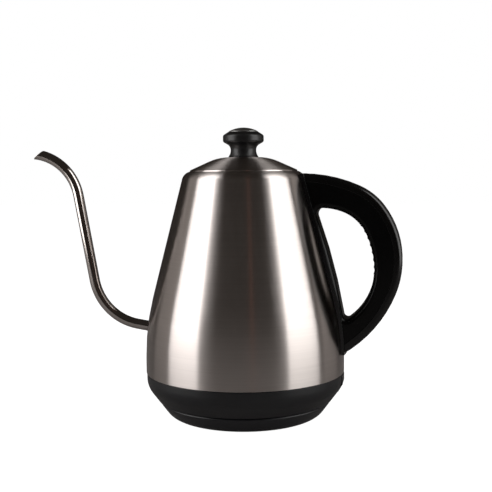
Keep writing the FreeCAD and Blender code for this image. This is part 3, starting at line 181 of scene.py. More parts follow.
class SkirtSizes(bpy.types.PropertyGroup):
    low: length("Foot", "Lower edge of the skirt above the table", 14.8)
    high: length("Top", "Rim under the steel", 36.1)
    radius: length("Radius", "Upright rim", 77.1)
    bend: length("Bend", "Bend between cone and rim", 16.0)
    wall: length("Wall", "Moulded wall", 1.8)
    lean: angle("Lean", "Cone of skirt and power base, from upright", 36.6)
    tongue_radius: length("Tongue", "Tongue inside the steel", 76.7)
    tongue_top: length("Tongue top", "Upper edge of the tongue", 39.4)
    flange_low: length("Flange", "Lower face of the screw flange", 17.4)
    flange: length("Flange thickness", "Screw flange", 2.4)
    flange_inside: length("Flange edge", "Inner edge of the screw flange", 54.99)
    slot_width: length("Slot width", "Opening for the switch", 20.2)
    slot_low: length("Slot foot", "Lower edge of that opening", 20.1)


class BaseSizes(bpy.types.PropertyGroup):
    low: length("Foot", "Lower edge of the power base above the table", 1.0)
    high: length("Top", "Upper face of the power base", 14.2)
    radius: length("Radius", "Cone at the upper face", 67.9)
    wall: length("Wall", "Moulded wall", 2.2)
    low_round: length("Lower edge", "Round of the lower edge", 13.0)
    high_round: length("Upper edge", "Round of the upper edge", 1.4)
    plate: length("Plate", "Edge of the bottom plate", 50.0)
    plate_thickness: length("Plate thickness", "Bottom plate", 2.2)
    plate_round: length("Plate edge", "Rounded edge of the bottom plate", 0.5)
    gap: length("Gap", "Open line around the bottom plate", 0.1)
    foot_ring: length("Foot ring", "Middle line of the rubber ring's groove", 43.96)
    foot_groove: length("Foot groove", "Width of that groove", 8.2)
    foot_depth: length("Foot depth", "Depth of that groove", 0.9)
    screw_circle: length("Screws", "Circle of the base's screws", 27.0)
    screw_head: length("Screw heads", "Counterbores of those screws", 2.9)
    hub_hole: length("Hub", "Hole for the connector", 13.1)
    dish_inside: length("Dish inside", "Inner edge of the shallow drip dish", 21.0)
    dish_outside: length("Dish outside", "Outer edge of the shallow drip dish", 60.0)
    dish_depth: length("Dish depth", "Depth of the drip dish", 0.6)
    inlet: length("Inlet", "Opening for a cord", 3.6)
    inlet_height: length("Inlet height", "Middle of that opening above the table", 7.6)


class SwitchSizes(bpy.types.PropertyGroup):
    pivot: length("Pivot", "Pivot from the axis", 68.6)
    height: length("Height", "Pivot above the table", 28.4)
    arm: length("Arm", "Inner arm", 10.5)
    hub: length("Hub", "Lever around its pin", 3.0)
    face: length("Face", "Outer edge of the paddle from the axis", 77.3)
    paddle: length("Paddle", "Height of the paddle", 12.4)
    width: length("Width", "Side to side", 19.0)
    edge_round: length("Edges", "Rounded edges", 0.7)


class FinishColours(bpy.types.PropertyGroup):
    steel: colour("Steel", "Brushed steel", (0.60, 0.555, 0.53))
    polished: colour("Polished steel", "Spout", (0.56, 0.52, 0.49))
    cap: colour("Cap", "Cap of the knob", (0.30, 0.30, 0.29))
    fastener: colour("Fasteners", "Screws and studs", (0.52, 0.51, 0.50))
    aluminium: colour("Aluminium", "Heat plate", (0.62, 0.62, 0.63))
    brass: colour("Brass", "Contacts", (0.65, 0.45, 0.18))
    base: colour("Base", "Power base", (0.008, 0.0088, 0.0112))
    skirt: colour("Skirt", "Skirt under the steel", (0.006, 0.0066, 0.008))
    handle: colour("Handle", "Loop of the handle", (0.002, 0.002, 0.002))
    spine: colour("Strip", "Glossy strip on the wall", (0.006, 0.006, 0.0065))
    knob: colour("Knob", "Turned knob", (0.008, 0.008, 0.008))
    control: colour("Controls", "Control housing", (0.035, 0.035, 0.037))
    rubber: colour("Rubber", "Foot ring and grip", (0.009, 0.009, 0.009))
    silicone: colour("Silicone", "Seal of the lid", (0.42, 0.42, 0.40))


class StageSizes(bpy.types.PropertyGroup):
    turn: angle("Camera turn", "Camera from straight in front, toward the handle", 10.0)
    yaw: angle("Camera yaw", "Camera looks past the axis, toward the spout", -0.11)
    distance: length("Camera distance", "Camera from the kettle's axis", 701.0)
    eye: length("Eye height", "Camera above the table", 191.5)
    pitch: angle("Pitch", "Camera looks down", 4.72)
    roll: angle("Roll", "Camera leans", -0.5)
    lens: bpy.props.FloatProperty(name="Lens", description="Focal length in millimetres", default=65.85)
    floor: length("Floor", "Side of the floor", 9000.0)
    floor_tone: colour("Floor tone", "Floor as the kettle mirrors it", (0.36, 0.345, 0.34))
    floor_seen: colour("Floor seen", "Floor as the camera sees it, under its glow", (0.30, 0.30, 0.30))
    room: colour("Room", "Dim room that the kettle mirrors", (0.028, 0.024, 0.021))


GROUPS = {
    "kettle_vessel": VesselSizes,
    "kettle_spout": SpoutSizes,
    "kettle_lid": LidSizes,
    "kettle_knob": KnobSizes,
    "kettle_handle": HandleSizes,
    "kettle_skirt": SkirtSizes,
    "kettle_base": BaseSizes,
    "kettle_switch": SwitchSizes,
    "kettle_colours": FinishColours,
    "kettle_stage": StageSizes,
}


# Lines

def bend_points(centre, spoke, turn, step_turn=ARC_STEP):
    """Points on an arc about centre that starts at the end of the spoke; a left turn is positive."""
    count = max(2, math.ceil(abs(turn) / step_turn))
    return [centre + Matrix.Rotation(turn * step / count, 2) @ spoke for step in range(count + 1)]


def rounded(corners):
    """A closed line of (across, up) corners; a third number gives a corner its round."""
    points = []
    for index, corner in enumerate(corners):
        here = Vector(corner[:2])
        if len(corner) == 2:
            points.append(here)
            continue
        back = (Vector(corners[index - 1][:2]) - here).normalized()
        ahead = (Vector(corners[(index + 1) % len(corners)][:2]) - here).normalized()
        half = back.angle(ahead) / 2
        start = here + back * corner[2] / math.tan(half)
        centre = here + (back + ahead).normalized() * corner[2] / math.sin(half)
        side = 1 if ahead.x * back.y - ahead.y * back.x > 0 else -1
        points += bend_points(centre, start - centre, side * (math.pi - 2 * half))
    return points


def trace(start, heading, steps, step_turn=ARC_STEP):
    """Points of a smooth line: a step is a length, or the radius and angle of a bend.

    A bend goes to the right, or to the left where both are negative.
    """
    points = [Vector(start)]
    for step in steps:
        ahead = Vector((math.cos(heading), math.sin(heading)))
        if isinstance(step, float):
            points.append(points[-1] + ahead * step)
            continue
        radius, turn = step
        centre = points[-1] + Vector((ahead.y, -ahead.x)) * radius
        points += bend_points(centre, points[-1] - centre, -turn, step_turn)[1:]
        heading -= turn
    return points


def mm(*values):
    """Millimetres to metres."""
    return tuple(value / 1000 for value in values)


def wall_line(vessel, skin, low, high):
    """Corners of the steel wall from low to high, moved outward by skin."""
    radius = vessel.radius + skin
    bend = vessel.belly_arc + skin
    corner = vessel.foot + vessel.upright + bend * math.tan(vessel.lean / 2)
    return [(radius, low), (radius, corner, bend), (radius - (high - corner) * math.tan(vessel.lean), high)]


def shared_cone(base, skirt):
    """The cone that skirt and power base share: its radius at a height, moved outward by skin."""
    def radius(height, skin=0.0):
        return base.radius + (height - base.high) * math.tan(skirt.lean) + skin / math.cos(skirt.lean)

    return radius


def bend_steps(bends, skin):
    """Steps of a line from bends in millimetres and degrees, each radius made larger by skin."""
    return [(radius / 1000 + skin, math.radians(turn)) for radius, turn in bends]


# The loop's outer line: its start from the axis, its level part and its bends, in millimetres and degrees
LOOP_START = 37.99
LOOP_LEVEL = 6.9
LOOP_BENDS = [(107.2, 24.5), (49.3, 28.7), (68.6, 58.9), (96.6, 46.0)]


def loop_line(handle, skin):
    """The loop's outer line from the top of the wall to its foot, moved inward by skin."""
    start, level = mm(LOOP_START, LOOP_LEVEL)
    return trace((start, handle.top - skin), 0, [level] + bend_steps(LOOP_BENDS, -skin))


# The finger window's bends, from the foot of its side along the wall, clockwise, in millimetres and degrees
WINDOW_SIDE = (-442.0, -10.15)
WINDOW_TOP = [(4.87, 112.13), (46.7, 17.3), (31.5, 32.5)]
WINDOW_GRIP = [(31.5, 12.3), (66.8, 23.3), (47.0, 6.0)]
WINDOW_FOOT = [(47.0, 48.6), (3.0, 118.02)]
WINDOW_START = (77.567, 81.328)
WINDOW_HEADING = 99.48


def window_start(skin):
    """The foot of the window's side, moved into the loop by skin."""
    heading = math.radians(WINDOW_HEADING)
    return Vector(mm(*WINDOW_START)) + Vector((-math.sin(heading), math.cos(heading))) * skin


def window_line():
    """The finger window's closed line."""
    bends = [WINDOW_SIDE] + WINDOW_TOP + WINDOW_GRIP + WINDOW_FOOT
    return trace(window_start(0), math.radians(WINDOW_HEADING), bend_steps(bends, 0))[:-1]


def grip_line(skin):
    """The soft grip's part of the window's line, finely divided and moved into the loop by skin."""
    before = [WINDOW_SIDE] + WINDOW_TOP
    heading = math.radians(WINDOW_HEADING)
    start = trace(window_start(skin), heading, bend_steps(before, skin))[-1]
    heading -= math.radians(sum(turn for _, turn in before))
    return trace(start, heading, bend_steps(WINDOW_GRIP, skin), GRIP_STEP)


# Modelling

def clear_selection():
    """Leave edit mode and select nothing."""
    if bpy.context.object and bpy.context.object.mode != "OBJECT":
        bpy.ops.object.mode_set(mode="OBJECT")
    bpy.ops.object.select_all(action="DESELECT")


def draw(points):
    """Start a mesh as one vertex, extrude it along the points and close the line; edit mode stays on."""
    clear_selection()
    bpy.ops.mesh.primitive_plane_add(size=0.001)
    bpy.ops.object.mode_set(mode="EDIT")
    bpy.ops.mesh.select_mode(type="VERT")
    bpy.ops.mesh.merge(type="CENTER")
    bpy.ops.transform.translate(value=points[0])
    for first, last in zip(points, points[1:]):
        bpy.ops.mesh.extrude_vertices_move(TRANSFORM_OT_translate={"value": last - first})
    ends = (points[0], points[-1])
    pick(lambda vertex: min((vertex.co - end).length for end in ends) < SAME_PLACE, "VERT")
    bpy.ops.mesh.edge_face_add()
    bpy.ops.mesh.select_all(action="SELECT")
    return bpy.context.object


def pick(test, kind="EDGE"):
    """Select the vertices, edges or faces that the test picks, and nothing else."""
    bpy.ops.mesh.select_mode(type=kind)
    bpy.ops.mesh.select_all(action="DESELECT")
    mesh = bpy.context.edit_object.data
    shape = bmesh.from_edit_mesh(mesh)
    for item in {"VERT": shape.verts, "EDGE": shape.edges, "FACE": shape.faces}[kind]:
        if test(item):
            item.select_set(True)
    shape.select_flush_mode()
    bmesh.update_edit_mesh(mesh)


def upright(points, turn=0.0):
    """Points of a flat line set up in the plane through the axis, turned about it."""
    return [Vector((p.x * math.cos(turn), p.x * math.sin(turn), p.y)) for p in points]


def close_up():
    """Merge what a spin left double and point every face outward."""
    bpy.ops.mesh.select_all(action="SELECT")
    bpy.ops.mesh.remove_doubles(threshold=DOUBLES)
    bpy.ops.mesh.normals_make_consistent(inside=False)


def turned(corners):
    """A piece turned about the axis from a closed line of corners."""
    piece = draw(upright(rounded(corners)))
    bpy.ops.mesh.spin(steps=TURN_STEPS, angle=math.tau, center=(0, 0, 0), axis=(0, 0, 1))
    close_up()
    bpy.ops.object.mode_set(mode="OBJECT")
    return piece


def push(way):
    """Extrude what is selected."""
    bpy.ops.mesh.extrude_region_move(TRANSFORM_OT_translate={"value": way})


def thicken(way):
    """Extrude the selected face into a solid; edit mode stays on."""
    push(way)
    bpy.ops.mesh.select_all(action="SELECT")
    bpy.ops.mesh.normals_make_consistent(inside=False)


def slab(points, width):
    """A closed flat line, filled and given its width from side to side; edit mode stays on."""
    piece = draw(upright(points))
    bpy.ops.mesh.edge_face_add()
    bpy.ops.transform.translate(value=(0, -width / 2, 0))
    thicken((0, width, 0))
    return piece


def round_side(points, width, radius, segments):
    """Round the edges of a slab's two flat sides that run along the points."""
    line = upright(points)

    def on_line(vertex):
        flat = Vector((vertex.co.x, 0, vertex.co.z))
        on_side = abs(abs(vertex.co.y) - width / 2) < SAME_PLACE
        return on_side and min((flat - point).length for point in line) < SAME_PLACE

    def wanted(edge):
        along = abs(edge.verts[0].co.y - edge.verts[1].co.y) < SAME_PLACE
        return along and all(on_line(vertex) for vertex in edge.verts)

    pick(wanted)
    bpy.ops.mesh.bevel(offset=radius, segments=segments, affect="EDGES", clamp_overlap=False)


def only(piece):
    """Make one piece the only selected one."""
    clear_selection()
    piece.select_set(True)
    bpy.context.view_layer.objects.active = piece


def apply_modifier(piece, kind, **settings):
    """Give a piece a modifier and apply it."""
    only(piece)
    modifier = piece.modifiers.new(kind.title(), kind)
    for name, value in settings.items():
        setattr(modifier, name, value)
    bpy.ops.object.modifier_apply(modifier=modifier.name)


def carve(piece, *cutters):
    """Take the cutters away from a piece and delete them; object mode is left on."""
    clear_selection()
    for cutter in cutters:
        apply_modifier(piece, "BOOLEAN", operation="DIFFERENCE", object=cutter, solver="EXACT")
        bpy.data.objects.remove(cutter)


def disc(radius, sides, at, direction, fill):
    """A circle across a direction, selected; edit mode stays on."""
    clear_selection()
    turn = Vector(direction).to_track_quat("Z", "Y").to_euler()
    bpy.ops.mesh.primitive_circle_add(
        vertices=sides, radius=radius, fill_type=fill, location=at, rotation=turn)
    bpy.ops.object.transform_apply(location=True, rotation=True, scale=True)
    bpy.ops.object.mode_set(mode="EDIT")
    bpy.ops.mesh.select_all(action="SELECT")
    return bpy.context.object


def rod(radius, start, direction, reach):
    """A round cutter from start along a direction."""
    piece = disc(radius, ROD_SIDES, start, direction, "NGON")
    thicken(Vector(direction).normalized() * reach)
    bpy.ops.object.mode_set(mode="OBJECT")
    return piece


def hand_over(piece, name, body, slot, node):
    """Smooth and name a finished piece, give it its slot's finish and put it in place of its node."""
    only(piece)
    piece.name = name
    piece.data.name = name
    bpy.ops.object.shade_smooth_by_angle(angle=SHARP_EDGE)
    apply_modifier(piece, "WEIGHTED_NORMAL", keep_sharp=True)
    piece.data.materials.clear()
    piece.data.materials.append(finish(slot))
    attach(piece, body)
    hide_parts(node)


# Finishes

def new_finish(name, **constants):
    """A material with its plain settings on the shader's own sockets."""
    material = bpy.data.materials.new(name)
    material.use_nodes = True
    shader = material.node_tree.nodes["Principled BSDF"]
    for socket, value in constants.items():
        shader.inputs[socket.replace("_", " ")].default_value = value
    return material, material.node_tree, shader


def add_node(tree, kind, inputs=None, **settings):
    """A shader node; an input is given as a value, or as an output of another node to link it to."""
    node = tree.nodes.new("ShaderNode" + kind)
    for name, value in settings.items():
        setattr(node, name, value)
    for socket, value in (inputs or {}).items():
        if isinstance(value, bpy.types.NodeSocket):
            tree.links.new(value, node.inputs[socket])
        else:
            node.inputs[socket].default_value = value
    return node


def spot(tree, scale=(1, 1, 1)):
    """Object coordinates, stretched."""
    coordinates = add_node(tree, "TexCoord").outputs["Object"]
    return add_node(tree, "Mapping", {"Vector": coordinates, "Scale": scale}).outputs[0]


def ring_spot(tree, across, along):
    """Coordinates that run fast outward from the axis and slowly around it."""
    reach = add_node(tree, "VectorMath", {0: spot(tree, (across, across, 0))}, operation="LENGTH")
    split = add_node(tree, "SeparateXYZ", {0: spot(tree, (along, along, along))})
    parts = {"X": split.outputs["X"], "Y": split.outputs["Y"], "Z": reach.outputs["Value"]}
    return add_node(tree, "CombineXYZ", parts).outputs[0]


def noise(tree, vector, scale=1.0, detail=2.0):
    return add_node(tree, "TexNoise", {"Vector": vector, "Scale": scale, "Detail": detail}).outputs[0]


def spread(tree, value, low, high):
    """A noise value's usual range laid over low to high."""
    least, most = NOISE_RANGE
    ends = {"From Min": least, "From Max": most, "To Min": low, "To Max": high}
    return add_node(tree, "MapRange", {"Value": value, **ends}).outputs[0]


def mottle(tree, value, tone, change):
    """The tone, darker and lighter by a share of itself as the value changes."""
    ramp = add_node(tree, "ValToRGB", {0: value})
    for element, position, factor in zip(ramp.color_ramp.elements, NOISE_RANGE, (1 - change, 1 + change)):
        element.position = position
        element.color = (*[min(1, channel * factor) for channel in tone], 1)
    return ramp.outputs["Color"]


def mixed(tree, first, second, share):
    """Two values added in shares; the first one's is given."""
    rest = add_node(tree, "Math", {0: second, 1: 1 - share}, operation="MULTIPLY").outputs[0]
    return add_node(tree, "Math", {0: first, 1: share, 2: rest}, operation="MULTIPLY_ADD").outputs[0]


def by_camera(tree, mirrored, seen):
    """A colour that the camera sees itself, and another for light and mirrors."""
    ray = add_node(tree, "LightPath").outputs["Is Camera Ray"]
    shade = mottle(tree, ray, seen, 0.0)
    shade.node.color_ramp.elements[0].color = (*mirrored, 1)
    return shade


def dress(tree, shader, tint, rough, height, depth, strength=1.0):
    """Join tint, roughness and a bump of a depth in metres to the shader."""
    bump = add_node(tree, "Bump", {"Strength": strength, "Distance": depth, "Height": height})
    for socket, value in (("Base Color", tint), ("Roughness", rough), ("Normal", bump.outputs[0])):
        tree.links.new(value, shader.inputs[socket])


def brushed_steel(name, tone, rings):
    """Steel brushed round the axis: by rings on a lid, by height on a wall."""
    material, tree, shader = new_finish(name, Metallic=1.0, Anisotropic=1.0, Anisotropic_Rotation=0.25)

    def brushing(across, along):
        return ring_spot(tree, across, along) if rings else spot(tree, (along, along, across))

    hairs = noise(tree, brushing(1100, 10), detail=1.0)
    bands = noise(tree, brushing(420, 9))
    smudge = noise(tree, spot(tree), 26.0, 4.0)
    tangent = add_node(tree, "Tangent", direction_type="RADIAL", axis="Z")
    tree.links.new(tangent.outputs[0], shader.inputs["Tangent"])
    wear = spread(tree, mixed(tree, bands, smudge, 0.6), 0.28, 0.32)
    dress(tree, shader, mottle(tree, hairs, tone, 0.025), wear, hairs, 0.4 * MICRON)
    return material


def smooth_metal(name, tone, rough, rings=None, heat=None):
    """Drawn, turned or plated metal; rings gives turning marks, heat a blue and straw tint."""
    material, tree, shader = new_finish(name, Metallic=1.0)
    smudge = noise(tree, spot(tree), 60.0, 5.0)
    tint = mottle(tree, smudge, tone, 0.08)
    if heat:
        tint.node.color_ramp.elements[0].color = (*heat, 1)
    wear = spread(tree, smudge, rough * 0.75, rough * 1.3)
    if rings:
        dress(tree, shader, tint, wear, noise(tree, ring_spot(tree, rings, 6)), 6 * MICRON)
    else:
        dress(tree, shader, tint, wear, noise(tree, spot(tree), 900.0), 2 * MICRON)
    return material


def moulded(name, tone, rough, depth=12 * MICRON, gloss=0.5):
    """Moulded plastic: spark-eroded grain, handling marks and slight clouding."""
    material, tree, shader = new_finish(name, Specular_IOR_Level=gloss)
    pits = noise(tree, spot(tree), 2200.0, 3.0)
    clouds = noise(tree, spot(tree), 35.0, 4.0)
    wear = spread(tree, clouds, rough * 0.86, rough * 1.16)
    dress(tree, shader, mottle(tree, clouds, tone, 0.22), wear, pits, depth)
    return material


def soft_rubber(name, tone, rough):
    """Soft rubber with a powdery bloom and a fine tooth."""
    material, tree, shader = new_finish(name, Specular_IOR_Level=0.35, Sheen_Weight=0.08, Sheen_Roughness=0.5)
    tooth = add_node(tree, "TexVoronoi", {"Scale": 1500.0, "Vector": spot(tree)})
    bloom = noise(tree, spot(tree), 70.0, 5.0)
    wear = spread(tree, bloom, rough * 0.9, min(1.0, rough * 1.12))
    dress(tree, shader, mottle(tree, bloom, tone, 0.3), wear, tooth.outputs["Distance"], 30 * MICRON, 0.7)
    return material


FINISHES = {}


def finish(slot):
    """The finish of one of the record's material slots, made when it is first asked for."""
    if slot in FINISHES:
        return FINISHES[slot]
    tones = bpy.context.scene.kettle_colours
    makers = {
        "vessel_steel": lambda: brushed_steel("brushed_wall", tones.steel, False),
        "lid_steel": lambda: brushed_steel("brushed_lid", tones.steel, True),
        "spout_steel": lambda: smooth_metal("polished_tube", tones.polished, 0.10),
        "cap_steel": lambda: smooth_metal("turned_cap", tones.cap, 0.5, rings=3000),
        "fastener_steel": lambda: smooth_metal("plated_steel", tones.fastener, 0.28),
        "element_steel": lambda: smooth_metal("heated_steel", tones.fastener, 0.36, heat=(0.30, 0.24, 0.16)),
        "plate_aluminium": lambda: smooth_metal("turned_aluminium", tones.aluminium, 0.38, rings=1500),
        "contact_brass": lambda: smooth_metal("worn_brass", tones.brass, 0.26),
        "base_plastic": lambda: moulded("base_moulding", tones.base, 0.36),
        "skirt_plastic": lambda: moulded("skirt_moulding", tones.skirt, 0.38),
        "handle_plastic": lambda: moulded("handle_moulding", tones.handle, 0.22, depth=4 * MICRON, gloss=0.2),
        "cover_plastic": lambda: moulded("band_moulding", tones.handle, 0.2, depth=4 * MICRON, gloss=0.45),
        "spine_plastic": lambda: moulded("strip_moulding", tones.spine, 0.14, depth=3 * MICRON),
        "knob_plastic": lambda: moulded("knob_moulding", tones.knob, 0.36, depth=8 * MICRON),
        "control_plastic": lambda: moulded("control_moulding", tones.control, 0.5),
        "switch_plastic": lambda: moulded("switch_moulding", tones.skirt, 0.32, depth=8 * MICRON),
        "soft_rubber": lambda: soft_rubber("black_rubber", tones.rubber, 0.72),
        "seal_silicone": lambda: soft_rubber("clear_silicone", tones.silicone, 0.45),
    }
    FINISHES[slot] = makers[slot]()
    return FINISHES[slot]


# Operators

class KETTLE_OT_vessel(bpy.types.Operator):
    """Turn the brushed steel wall with its shoulder, lid recess and neck, and open the spout's port"""
    bl_idname = "kettle.vessel"
    bl_label = "Steel vessel"

    def execute(self, context):
        vessel = context.scene.kettle_vessel
        spout = context.scene.kettle_spout
        wall = vessel.wall
        top = vessel.foot + vessel.shoulder
        outer = wall_line(vessel, 0, vessel.foot, top)
        inner = wall_line(vessel, -wall, vessel.foot, top)
        corner = Vector(outer[2])
        rise = math.tan(vessel.slope)
        edge = corner.y + (corner.x - vessel.seat_radius) * rise
        seat = edge - vessel.seat_drop
        cone_side = Vector((math.cos(vessel.lean), math.sin(vessel.lean)))
        shoulder_side = Vector((math.sin(vessel.slope), math.cos(vessel.slope)))
        inset = (cone_side + shoulder_side) * wall / (1 + cone_side.dot(shoulder_side))
        under = corner - inset
        seat_outside = vessel.seat_radius + wall
        neck_outside = vessel.mouth_radius + wall
        tiny = wall * 0.35
        piece = turned([
            (*outer[0], tiny), outer[1], (*corner, vessel.shoulder_round),
            (vessel.seat_radius, edge, tiny), (vessel.seat_radius, seat, tiny),
            (vessel.mouth_radius, seat, wall), (vessel.mouth_radius, seat - vessel.neck, tiny),
            (neck_outside, seat - vessel.neck, tiny), (neck_outside, seat - wall),
            (seat_outside, seat - wall), (seat_outside, under.y + (under.x - seat_outside) * rise),
            (*under, vessel.shoulder_round - wall), inner[1], (*inner[0], tiny),
        ])
        ahead = Vector((-math.cos(spout.rise), 0, math.sin(spout.rise)))
        start = Vector((-spout.start, 0, spout.height)) - ahead * spout.radius
        carve(piece, rod(spout.radius, start, ahead, spout.radius * 3))
        hand_over(piece, "steel_wall", "kettle", "vessel_steel", "vessel_shell")
        return {"FINISHED"}


class KETTLE_OT_spout(bpy.types.Operator):
    """Draw the gooseneck along its two bends, cut its slanted mouth and give the tube its wall"""
    bl_idname = "kettle.spout"
    bl_label = "Gooseneck"

    def execute(self, context):
        spout = context.scene.kettle_spout
        heading = math.pi - spout.rise
        ahead = Vector((math.cos(heading), 0, math.sin(heading)))
        at = Vector((-spout.start, 0, spout.height))
        piece = disc(spout.radius, TUBE_SIDES, at, ahead, "NOTHING")
        push(ahead * spout.root)
        at = at + ahead * spout.root
        for radius, turn, run, side in (
                (spout.low_arc, spout.low_turn, spout.straight, 1),
                (spout.high_arc, spout.high_turn, 0, -1)):
            centre = at + Vector((ahead.z, 0, -ahead.x)) * radius * side
            bpy.ops.mesh.spin(steps=TUBE_BEND_STEPS, angle=turn * side, center=centre, axis=(0, -1, 0))
            swing = Matrix.Rotation(turn * side, 3, "Y")
            at = centre + swing @ (at - centre)
            ahead = swing @ ahead
            if run:
                push(ahead * run)
                at = at + ahead * run
        cut = Matrix.Rotation(spout.lip_slant, 3, "Y") @ ahead
        pick(lambda vertex: vertex.co.z > at.z - spout.high_arc / 3, "VERT")
        bpy.ops.mesh.bisect(plane_co=at - ahead * spout.lip_back, plane_no=cut, clear_outer=True)
        close_up()
        bpy.ops.object.mode_set(mode="OBJECT")
        apply_modifier(piece, "SOLIDIFY", thickness=spout.wall, offset=-1, use_rim=True)
        apply_modifier(piece, "BEVEL", width=spout.wall * 0.3, segments=2, limit_method="ANGLE",
                       angle_limit=math.radians(40))
        hand_over(piece, "gooseneck", "kettle", "spout_steel", "spout_tube")
        return {"FINISHED"}


class KETTLE_OT_lid(bpy.types.Operator):
    """Turn the lid's steel cone with its beaded rim and pierce the steam vent"""
    bl_idname = "kettle.lid"
    bl_label = "Lid"

    def execute(self, context):
        lid = context.scene.kettle_lid
        wall = lid.wall
        fall = math.tan(lid.lean)
        crown = lid.rim_radius - (lid.top - lid.rim_top) / fall
        inner_crown = crown - wall * math.tan(lid.lean / 2)
        inner_rim = lid.rim_radius - wall
        tiny = wall * 0.3
        piece = turned([
            (inner_rim, lid.rim_low, tiny), (lid.rim_radius, lid.rim_low, tiny),
            (lid.rim_radius, lid.rim_top, lid.rim_round), (crown, lid.top, lid.crown_arc),
            (lid.hole, lid.top), (lid.hole, lid.top - wall),
            (inner_crown, lid.top - wall, lid.crown_arc - wall),
            (inner_rim, lid.top - wall - (inner_rim - inner_crown) * fall, tiny),
        ])
        start = (0, lid.vent_place, lid.rim_low)
        carve(piece, rod(lid.vent_radius, start, (0, 0, 1), lid.top - lid.rim_low))
        hand_over(piece, "lid_dome", "lid", "lid_steel", "lid_cover")
        return {"FINISHED"}


class KETTLE_OT_knob(bpy.types.Operator):
    """Turn the black knob and its metal cap"""
    bl_idname = "kettle.knob"
    bl_label = "Knob and cap"

    def execute(self, context):
        knob = context.scene.kettle_knob
        foot = knob.foot
        top = foot + knob.height
        seat = top - knob.recess
        rim = knob.cap_radius + knob.cap_gap
        edge = knob.grip_round
        small = edge / 5
        piece = turned([
            (0, foot), (knob.foot_radius, foot, small),
            (knob.waist_radius, foot + knob.waist_low, knob.foot_arc),
            (knob.waist_radius, foot + knob.waist_high, knob.under_arc),
            (knob.grip_radius, foot + knob.grip_low, edge), (knob.grip_radius, foot + knob.grip_high, edge),
            (rim + small, top, small), (rim, top), (rim, seat), (0, seat),
        ])
        hand_over(piece, "knob_turning", "lid", "knob_plastic", "knob")
        lip = top + knob.cap_edge
        sag = knob.cap_rise - knob.cap_edge
        dome = (knob.cap_radius ** 2 + sag ** 2) / (2 * sag)
        half = math.asin(knob.cap_radius / dome)
        crown = bend_points(Vector((0, lip + sag - dome)), Vector((0, dome)), -half)
        piece = turned([(0, seat), (knob.cap_radius, seat), (knob.cap_radius, lip)] + crown[-2::-1])
        hand_over(piece, "cap_turning", "lid", "cap_steel", "knob_cap")
        return {"FINISHED"}


class KETTLE_OT_handle(bpy.types.Operator):
    """Model the handle: loop, outer band, soft ribbed grip and the strip on the wall"""
    bl_idname = "kettle.handle"
    bl_label = "Handle"

    def execute(self, context):
        handle = context.scene.kettle_handle
        vessel = context.scene.kettle_vessel
        self.loop(handle, vessel)
        self.band(handle, vessel)
        self.grip(handle)
        self.strip(handle, vessel)
        return {"FINISHED"}

    def wall_room(self, handle, vessel):
        """The room that the steel and the strip take up."""
        low = vessel.foot - handle.width
        high = handle.top + handle.width / 2
        side = wall_line(vessel, handle.spine_front + handle.seam, low, high)
        return turned([(0, low)] + side + [(0, high)])

    def loop(self, handle, vessel):
        """The loop with its finger window and the soft grip's pocket."""
        outer = loop_line(handle, handle.band)
        window = window_line()
        piece = slab(outer, handle.width)
        round_side(outer, handle.width, handle.seam_round, SEAM_SEGMENTS)
        carve(piece, slab(window, handle.width * 2))
        bpy.ops.object.mode_set(mode="EDIT")
        round_side(window, handle.width, handle.edge_round, EDGE_SEGMENTS)
        pocket = grip_line(handle.insert_depth + handle.seam)
        mouth = grip_line(-handle.edge_round)
        cutter = slab(pocket + mouth[::-1], handle.insert_width + handle.seam * 2)
        carve(piece, self.wall_room(handle, vessel), cutter)
        hand_over(piece, "handle_loop", "kettle", "handle_plastic", "handle_body")

    def band(self, handle, vessel):
        """The outer band that lies on the loop."""
        outer = loop_line(handle, 0)
        inner = loop_line(handle, handle.band)
        piece = slab(outer + inner[::-1], handle.width)
        round_side(outer, handle.width, handle.edge_round, EDGE_SEGMENTS)
        round_side(inner, handle.width, handle.seam_round, SEAM_SEGMENTS)
        carve(piece, self.wall_room(handle, vessel))
        hand_over(piece, "handle_band", "kettle", "cover_plastic", "handle_cover")

    def grip(self, handle):
        """The soft grip, scalloped along the window."""
        crest = grip_line(-handle.insert_proud)
        hollow = grip_line(handle.rib_depth - handle.insert_proud)
        walked = [0.0]
        for first, last in zip(crest, crest[1:]):
            walked.append(walked[-1] + (last - first).length)
        ribbed = []
        for high, low, way in zip(crest, hollow, walked):
            ribbed.append(high.lerp(low, abs(math.sin(math.pi * handle.ribs * way / walked[-1]))))
        piece = slab(ribbed + grip_line(handle.insert_depth)[::-1], handle.insert_width)
        round_side(ribbed, handle.insert_width, handle.seam_round / 2, SEAM_SEGMENTS)
        hand_over(piece, "ribbed_grip", "kettle", "soft_rubber", "grip_insert")

    def strip(self, handle, vessel):
        """The glossy strip that follows the steel wall."""
        front = wall_line(vessel, handle.spine_front, vessel.foot, handle.top)
        back = wall_line(vessel, handle.spine_back, vessel.foot, handle.top)
        half = handle.spine_width / 2
        cuts = [
            ((0, half, 0), (0, 1, 0)),
            ((0, -half, 0), (0, -1, 0)),
            ((0, 0, handle.spine_low), (0, 0, -1)),
        ]
        sweep = math.radians(60)
        piece = draw(upright(rounded(front + back[::-1]), sweep / 2))
        bpy.ops.mesh.spin(steps=STRIP_STEPS, angle=sweep, center=(0, 0, 0), axis=(0, 0, 1))
        close_up()
        for middle, outward in cuts:
            bpy.ops.mesh.select_all(action="SELECT")
            bpy.ops.mesh.bisect(plane_co=middle, plane_no=outward, use_fill=True, clear_outer=True)
        close_up()
        bpy.ops.object.mode_set(mode="OBJECT")
        apply_modifier(piece, "BEVEL", width=handle.spine_round, segments=4, limit_method="ANGLE",
                       angle_limit=math.radians(50))
        hand_over(piece, "wall_strip", "kettle", "spine_plastic", "handle_spine")


